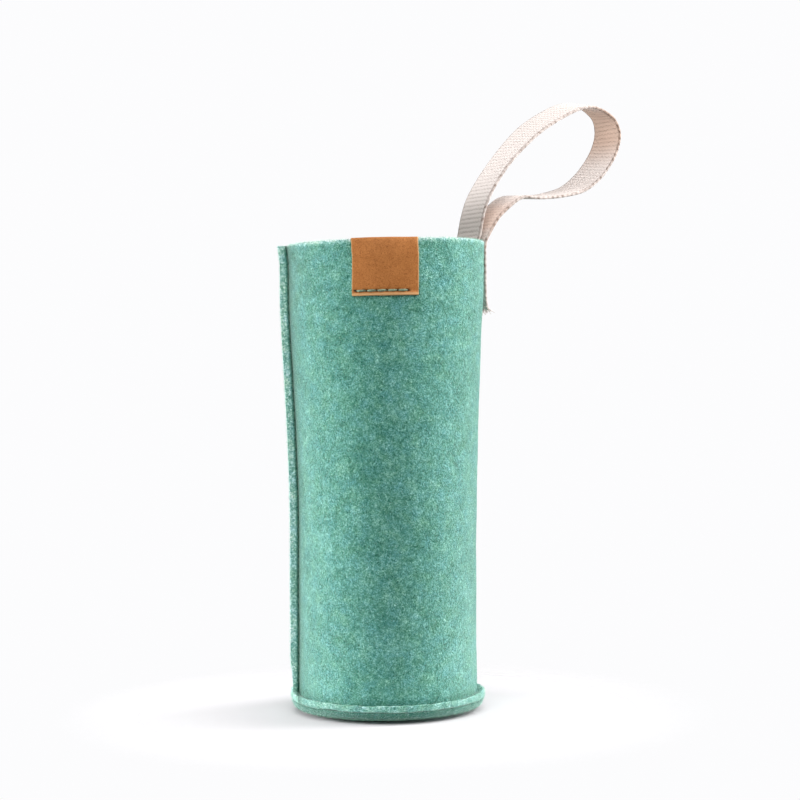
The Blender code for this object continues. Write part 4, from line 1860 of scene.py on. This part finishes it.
    def frays(self) -> bpy.types.Object:
        """Loose yarn ends under the outer tail.

        Returns:
            The piece.
        """
        chance = np.random.default_rng(5)
        end, before = self.line()[-1], self.line()[-6]
        down = Vector((end.x - before.x, end.y - before.y)).normalized()
        runs = []
        for a in spread(-self.width / 2 + 0.0004, self.width / 2 - 0.0004, 0.00045):
            for level in (-0.0004, 0.0, 0.0004):
                root = self.foot + self.out * (end.x + level) + above(end.y) + self.aside * a
                way = self.out * (down.x + chance.uniform(-0.35, 1.30)) + above(down.y)
                way = (way + self.aside * chance.uniform(-0.3, 0.3)).normalized()
                length = chance.uniform(*self.fray_lengths)
                bend = self.out * chance.uniform(-0.0004, 0.0006) + self.aside * chance.uniform(-0.0004, 0.0004)
                runs.append([(root - way * 0.001, 1.0), (root + way * length * 0.5, 1.0),
                             (root + way * length + bend, 0.5)])
        return place_piece(strands("webbing_frays", runs, self.fray_radius, 1), self.yarn, "cream_webbing")


# ------------------------------------------------------------------------------------------ stitching


class Layer(Enum):
    """Which thread of a lockstitch."""

    NEEDLE = "needle"
    BOBBIN = "bobbin"


@dataclass
class Seam:
    """A row of machine stitches laid on a surface."""

    name: str
    places: Places
    thread: bpy.types.Material
    radius: float = 0.00022
    lift: float = 0.00016
    sink: float = 0.0009

    def run(self, layer: Layer, depth: float) -> Strand:
        """One thread's points along the row.

        Args:
            layer: Which of the two threads.
            depth: From the needle side's surface to the bobbin side's.

        Returns:
            The points and their share of the thread's radius.
        """
        sign, base = (1, 0.0) if layer is Layer.NEEDLE else (-1, -depth)
        arch = ((0.0, -self.sink), (0.08, -self.sink * 0.2), (0.22, self.lift * 0.8), (0.5, self.lift),
                (0.78, self.lift * 0.8), (0.92, -self.sink * 0.2))
        run = []
        for (a, na), (b, nb) in zip(self.places, self.places[1:]):
            for t, height in arch:
                normal = na.lerp(nb, t)
                run.append((a.lerp(b, t) + normal * (base + sign * height), 1.0))
        last, normal = self.places[-1]
        run.append((last + normal * (base - sign * self.sink), 1.0))
        return run

    def build(self, depth: float) -> list[bpy.types.Object]:
        """Both threads as dressed pieces."""
        return [place_piece(strands(f"{self.name}_{layer.value}_stitches", [self.run(layer, depth)], self.radius, 1),
                            self.thread, "seam_thread", f"{self.name}_{layer.value}_thread") for layer in Layer]


@dataclass
class Stitching:
    """The sleeve's seams apart from the label's."""

    form: SleeveForm
    panel: FeltPanel
    strap: CarryStrap
    thread: bpy.types.Material
    seam_end: float = 0.004
    base_seam_in: float = 0.002
    base_seam_sink: float = 0.0009
    base_under: float = 0.0022
    lower_row: float = 0.0045
    upper_row: float = 0.007
    row_stitch: float = 0.004

    def side(self) -> Places:
        """Stitch points up the fin's groove.

        Returns:
            Each hole's place, and the surface's normal there.
        """
        form = self.form
        normal = form.from_fin(0, 1, 0) - form.from_fin(0, 0, 0)
        first, last = form.flange_top + self.seam_end, form.height - self.seam_end
        count = round((last - first) / form.stitch)
        face = form.leaf_gap / 2 + form.felt - self.panel.groove_depth * 0.9
        heights = [first + (last - first) * k / count for k in range(count + 1)]
        return [(form.from_fin(form.fin_seam_reach(z), face, z), normal) for z in heights]

    def base(self) -> Places:
        """Stitch points round the crease above the turned-out edge.

        Returns:
            Each hole's place, and the surface's normal there.
        """
        form = self.form
        radius = form.flange_radius - self.base_seam_in
        clear = math.asin((form.leaf * 2 + 0.003) / radius)
        start, end = form.fin_angle + clear, form.fin_angle + math.tau - clear
        count = round((end - start) * radius / form.stitch)
        places = []
        for k in range(count + 1):
            angle = start + (end - start) * k / count
            height = form.flange_top - self.base_seam_sink + self.panel.edge_height(angle) * 0.35
            places.append((form.outward(angle) * radius + above(height), above(1)))
        return places

    def tails(self, height: float) -> Places:
        """Stitch points across the strap's outer tail.

        Args:
            height: The row's height.

        Returns:
            Each hole's place, and the surface's normal there.
        """
        strap = self.strap
        face = self.form.felt / 2 + strap.tail_gap + strap.thickness
        middle = strap.foot + strap.out * face
        middle.z = height
        return [(middle + strap.aside * (self.row_stitch * (k - 1.5)), strap.out) for k in range(4)]

    def build(self) -> list[bpy.types.Object]:
        """All the threads.

        Returns:
            The dressed pieces.
        """
        form, strap = self.form, self.strap
        through = form.felt + 2 * (strap.tail_gap + strap.thickness)
        seams = (
            ("side_seam", self.side(), 2 * form.felt + form.leaf_gap - 1.8 * self.panel.groove_depth),
            ("base_seam", self.base(), form.flange_top - self.base_seam_sink - self.base_under),
            ("strap_lower_seam", self.tails(form.oval_full + self.lower_row), through),
            ("strap_upper_seam", self.tails(form.height - self.upper_row), through),
        )
        return [piece for name, places, depth in seams for piece in Seam(name, places, self.thread).build(depth)]


# ------------------------------------------------------------------------------------------ studio


@dataclass(frozen=True)
class Lamp:
    """A soft rectangular lamp: where it stands, its width and height, its power in watts and what it faces."""

    name: str
    place: Triple
    size: Pair
    power: float
    target: Triple = (0.0, 0.0, 0.10)

    def build(self) -> None:
        """Puts the lamp in the scene."""
        data = bpy.data.lights.new(self.name, "AREA")
        data.shape = "RECTANGLE"
        data.size, data.size_y = self.size
        data.energy = self.power
        lamp = bpy.data.objects.new(self.name, data)
        lamp.location = self.place
        lamp.rotation_mode = "QUATERNION"
        lamp.rotation_quaternion = (Vector(self.target) - Vector(self.place)).to_track_quat("-Z", "Y")
        bpy.context.scene.collection.objects.link(lamp)


@dataclass(frozen=True)
class Studio:
    """Pale floor, soft lamps and the camera: a near lamp at the left, two at the right, one in front, one above."""

    eye: Triple = (0.0068, -0.811, 0.1385)
    lens: float = 81.225
    roll: float = math.radians(0.6)
    lamps: tuple[Lamp, ...] = (
        Lamp("left_lamp", (-0.36, -0.03, 0.095), (0.20, 0.12), 2.03, (0.0, 0.0, -0.02)),
        Lamp("right_lamp", (0.90, 0.25, 0.60), (0.60, 0.90), 16.6),
        Lamp("right_front_lamp", (0.75, -0.05, 0.12), (0.40, 0.50), 4.6),
        Lamp("front_lamp", (-0.08, -0.60, 0.55), (0.60, 0.50), 3.5),
        Lamp("top_lamp", (0.10, -0.05, 1.25), (1.2, 1.0), 9.0),
    )
    seen: Colour = (0.975, 0.975, 0.985, 1.0)
    fill: Colour = (0.94, 0.97, 1.0, 1.0)
    fill_strength: float = 0.15
    paper: Colour = (0.612, 0.590, 0.606, 1.0)
    floor_radius: float = 1.4
    floor_fade: Pair = (0.052, 0.15)

    def camera(self) -> None:
        """A level camera looking along +Y, rolled slightly."""
        data = bpy.data.cameras.new("view")
        data.lens = self.lens
        data.sensor_width = 36.0
        data.clip_start = 0.01
        data.clip_end = 20.0
        right = Vector((math.cos(self.roll), 0.0, -math.sin(self.roll)))
        up = Vector((math.sin(self.roll), 0.0, math.cos(self.roll)))
        turn = Matrix((right, up, right.cross(up))).transposed().to_4x4()
        camera = bpy.data.objects.new("view", data)
        camera.matrix_world = Matrix.Translation(self.eye) @ turn
        bpy.context.scene.collection.objects.link(camera)
        bpy.context.scene.camera = camera

    def world(self) -> None:
        """A white surround for the camera and a softer one for the light."""
        made = Recipe("surround", Kind.SURROUND)
        seen = made.node("Background", {"Color": self.seen}).outputs[0]
        fill = made.node("Background", {"Color": self.fill, "Strength": self.fill_strength}).outputs[0]
        direct = made.node("LightPath").outputs["Is Camera Ray"]
        choose = made.node("MixShader", {0: direct, 1: fill, 2: seen})
        made.node("OutputWorld", {0: choose.outputs[0]})
        bpy.context.scene.world = made.block

    def floor(self) -> None:
        """A pale floor that fades into the surround."""
        bm = bmesh.new()
        bmesh.ops.create_circle(bm, cap_ends=True, radius=self.floor_radius, segments=96)
        piece = as_piece(bm, "studio_floor")
        made = Recipe("studio_paper")
        reach = made.node("VectorMath", {0: made.where()}, operation="LENGTH").outputs["Value"]
        fade = made.between(reach, *self.floor_fade)
        paper = made.node("BsdfPrincipled", {"Base Color": self.paper, "Roughness": 0.9, "Specular IOR Level": 0.1})
        clear = made.node("BsdfTransparent")
        choose = made.node("MixShader", {0: fade, 1: paper.outputs[0], 2: clear.outputs[0]})
        made.node("OutputMaterial", {"Surface": choose.outputs[0]})
        piece.data.materials.append(made.block)

    def build(self) -> None:
        """Everything round the object."""
        bpy.context.scene.view_settings.view_transform = "Standard"
        self.camera()
        for lamp in self.lamps:
            lamp.build()
        self.world()
        self.floor()


# ------------------------------------------------------------------------------------------ assembly


def count(piece: bpy.types.Object) -> int:
    """A piece's triangles.

    Args:
        piece: The piece.

    Returns:
        How many there are.
    """
    graph = bpy.context.evaluated_depsgraph_get()
    shown = piece.evaluated_get(graph)
    mesh = shown.to_mesh()
    triangles = sum(len(polygon.vertices) - 2 for polygon in mesh.polygons)
    shown.to_mesh_clear()
    return triangles


def report(piece: bpy.types.Object) -> None:
    """Logs a piece's name and how many triangles it has."""
    log.info("%-32s %7d triangles", piece.name, count(piece))


def corners(box: tuple[Vector, Vector]) -> list[list[float]]:
    """A box as plain numbers."""
    return [list(corner) for corner in box]


def main() -> None:
    """Builds the sleeve piece by piece."""
    logging.basicConfig(level=logging.INFO, format="%(message)s")
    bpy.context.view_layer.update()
    Studio().build()

    felt = FeltFinish()
    cloth = felt.material()
    cotton = WebbingFinish().material()
    leather = LeatherFinish().material()
    green, grey, yarn = (finish.material() for finish in (GREEN_THREAD, LABEL_THREAD, CREAM_YARN))

    form = SleeveForm.from_frame()
    panel = FeltPanel(form, cloth)
    report(panel.build())
    base = FeltBase(form, cloth)
    report(base.build())
    for piece in FeltFuzz(form, felt.hair()).build(panel, base):
        report(piece)
    label = TabLabel(form, leather, grey)
    report(label.build())
    for piece in label.sew():
        report(piece)
    strap = CarryStrap(form, cotton, yarn)
    report(strap.build())
    report(strap.frays())
    for piece in Stitching(form, panel, strap, green).build():
        report(piece)
    log.info("webbing length %.1f mm", strap.length * 1000)


if __name__ == "__main__":
    main()
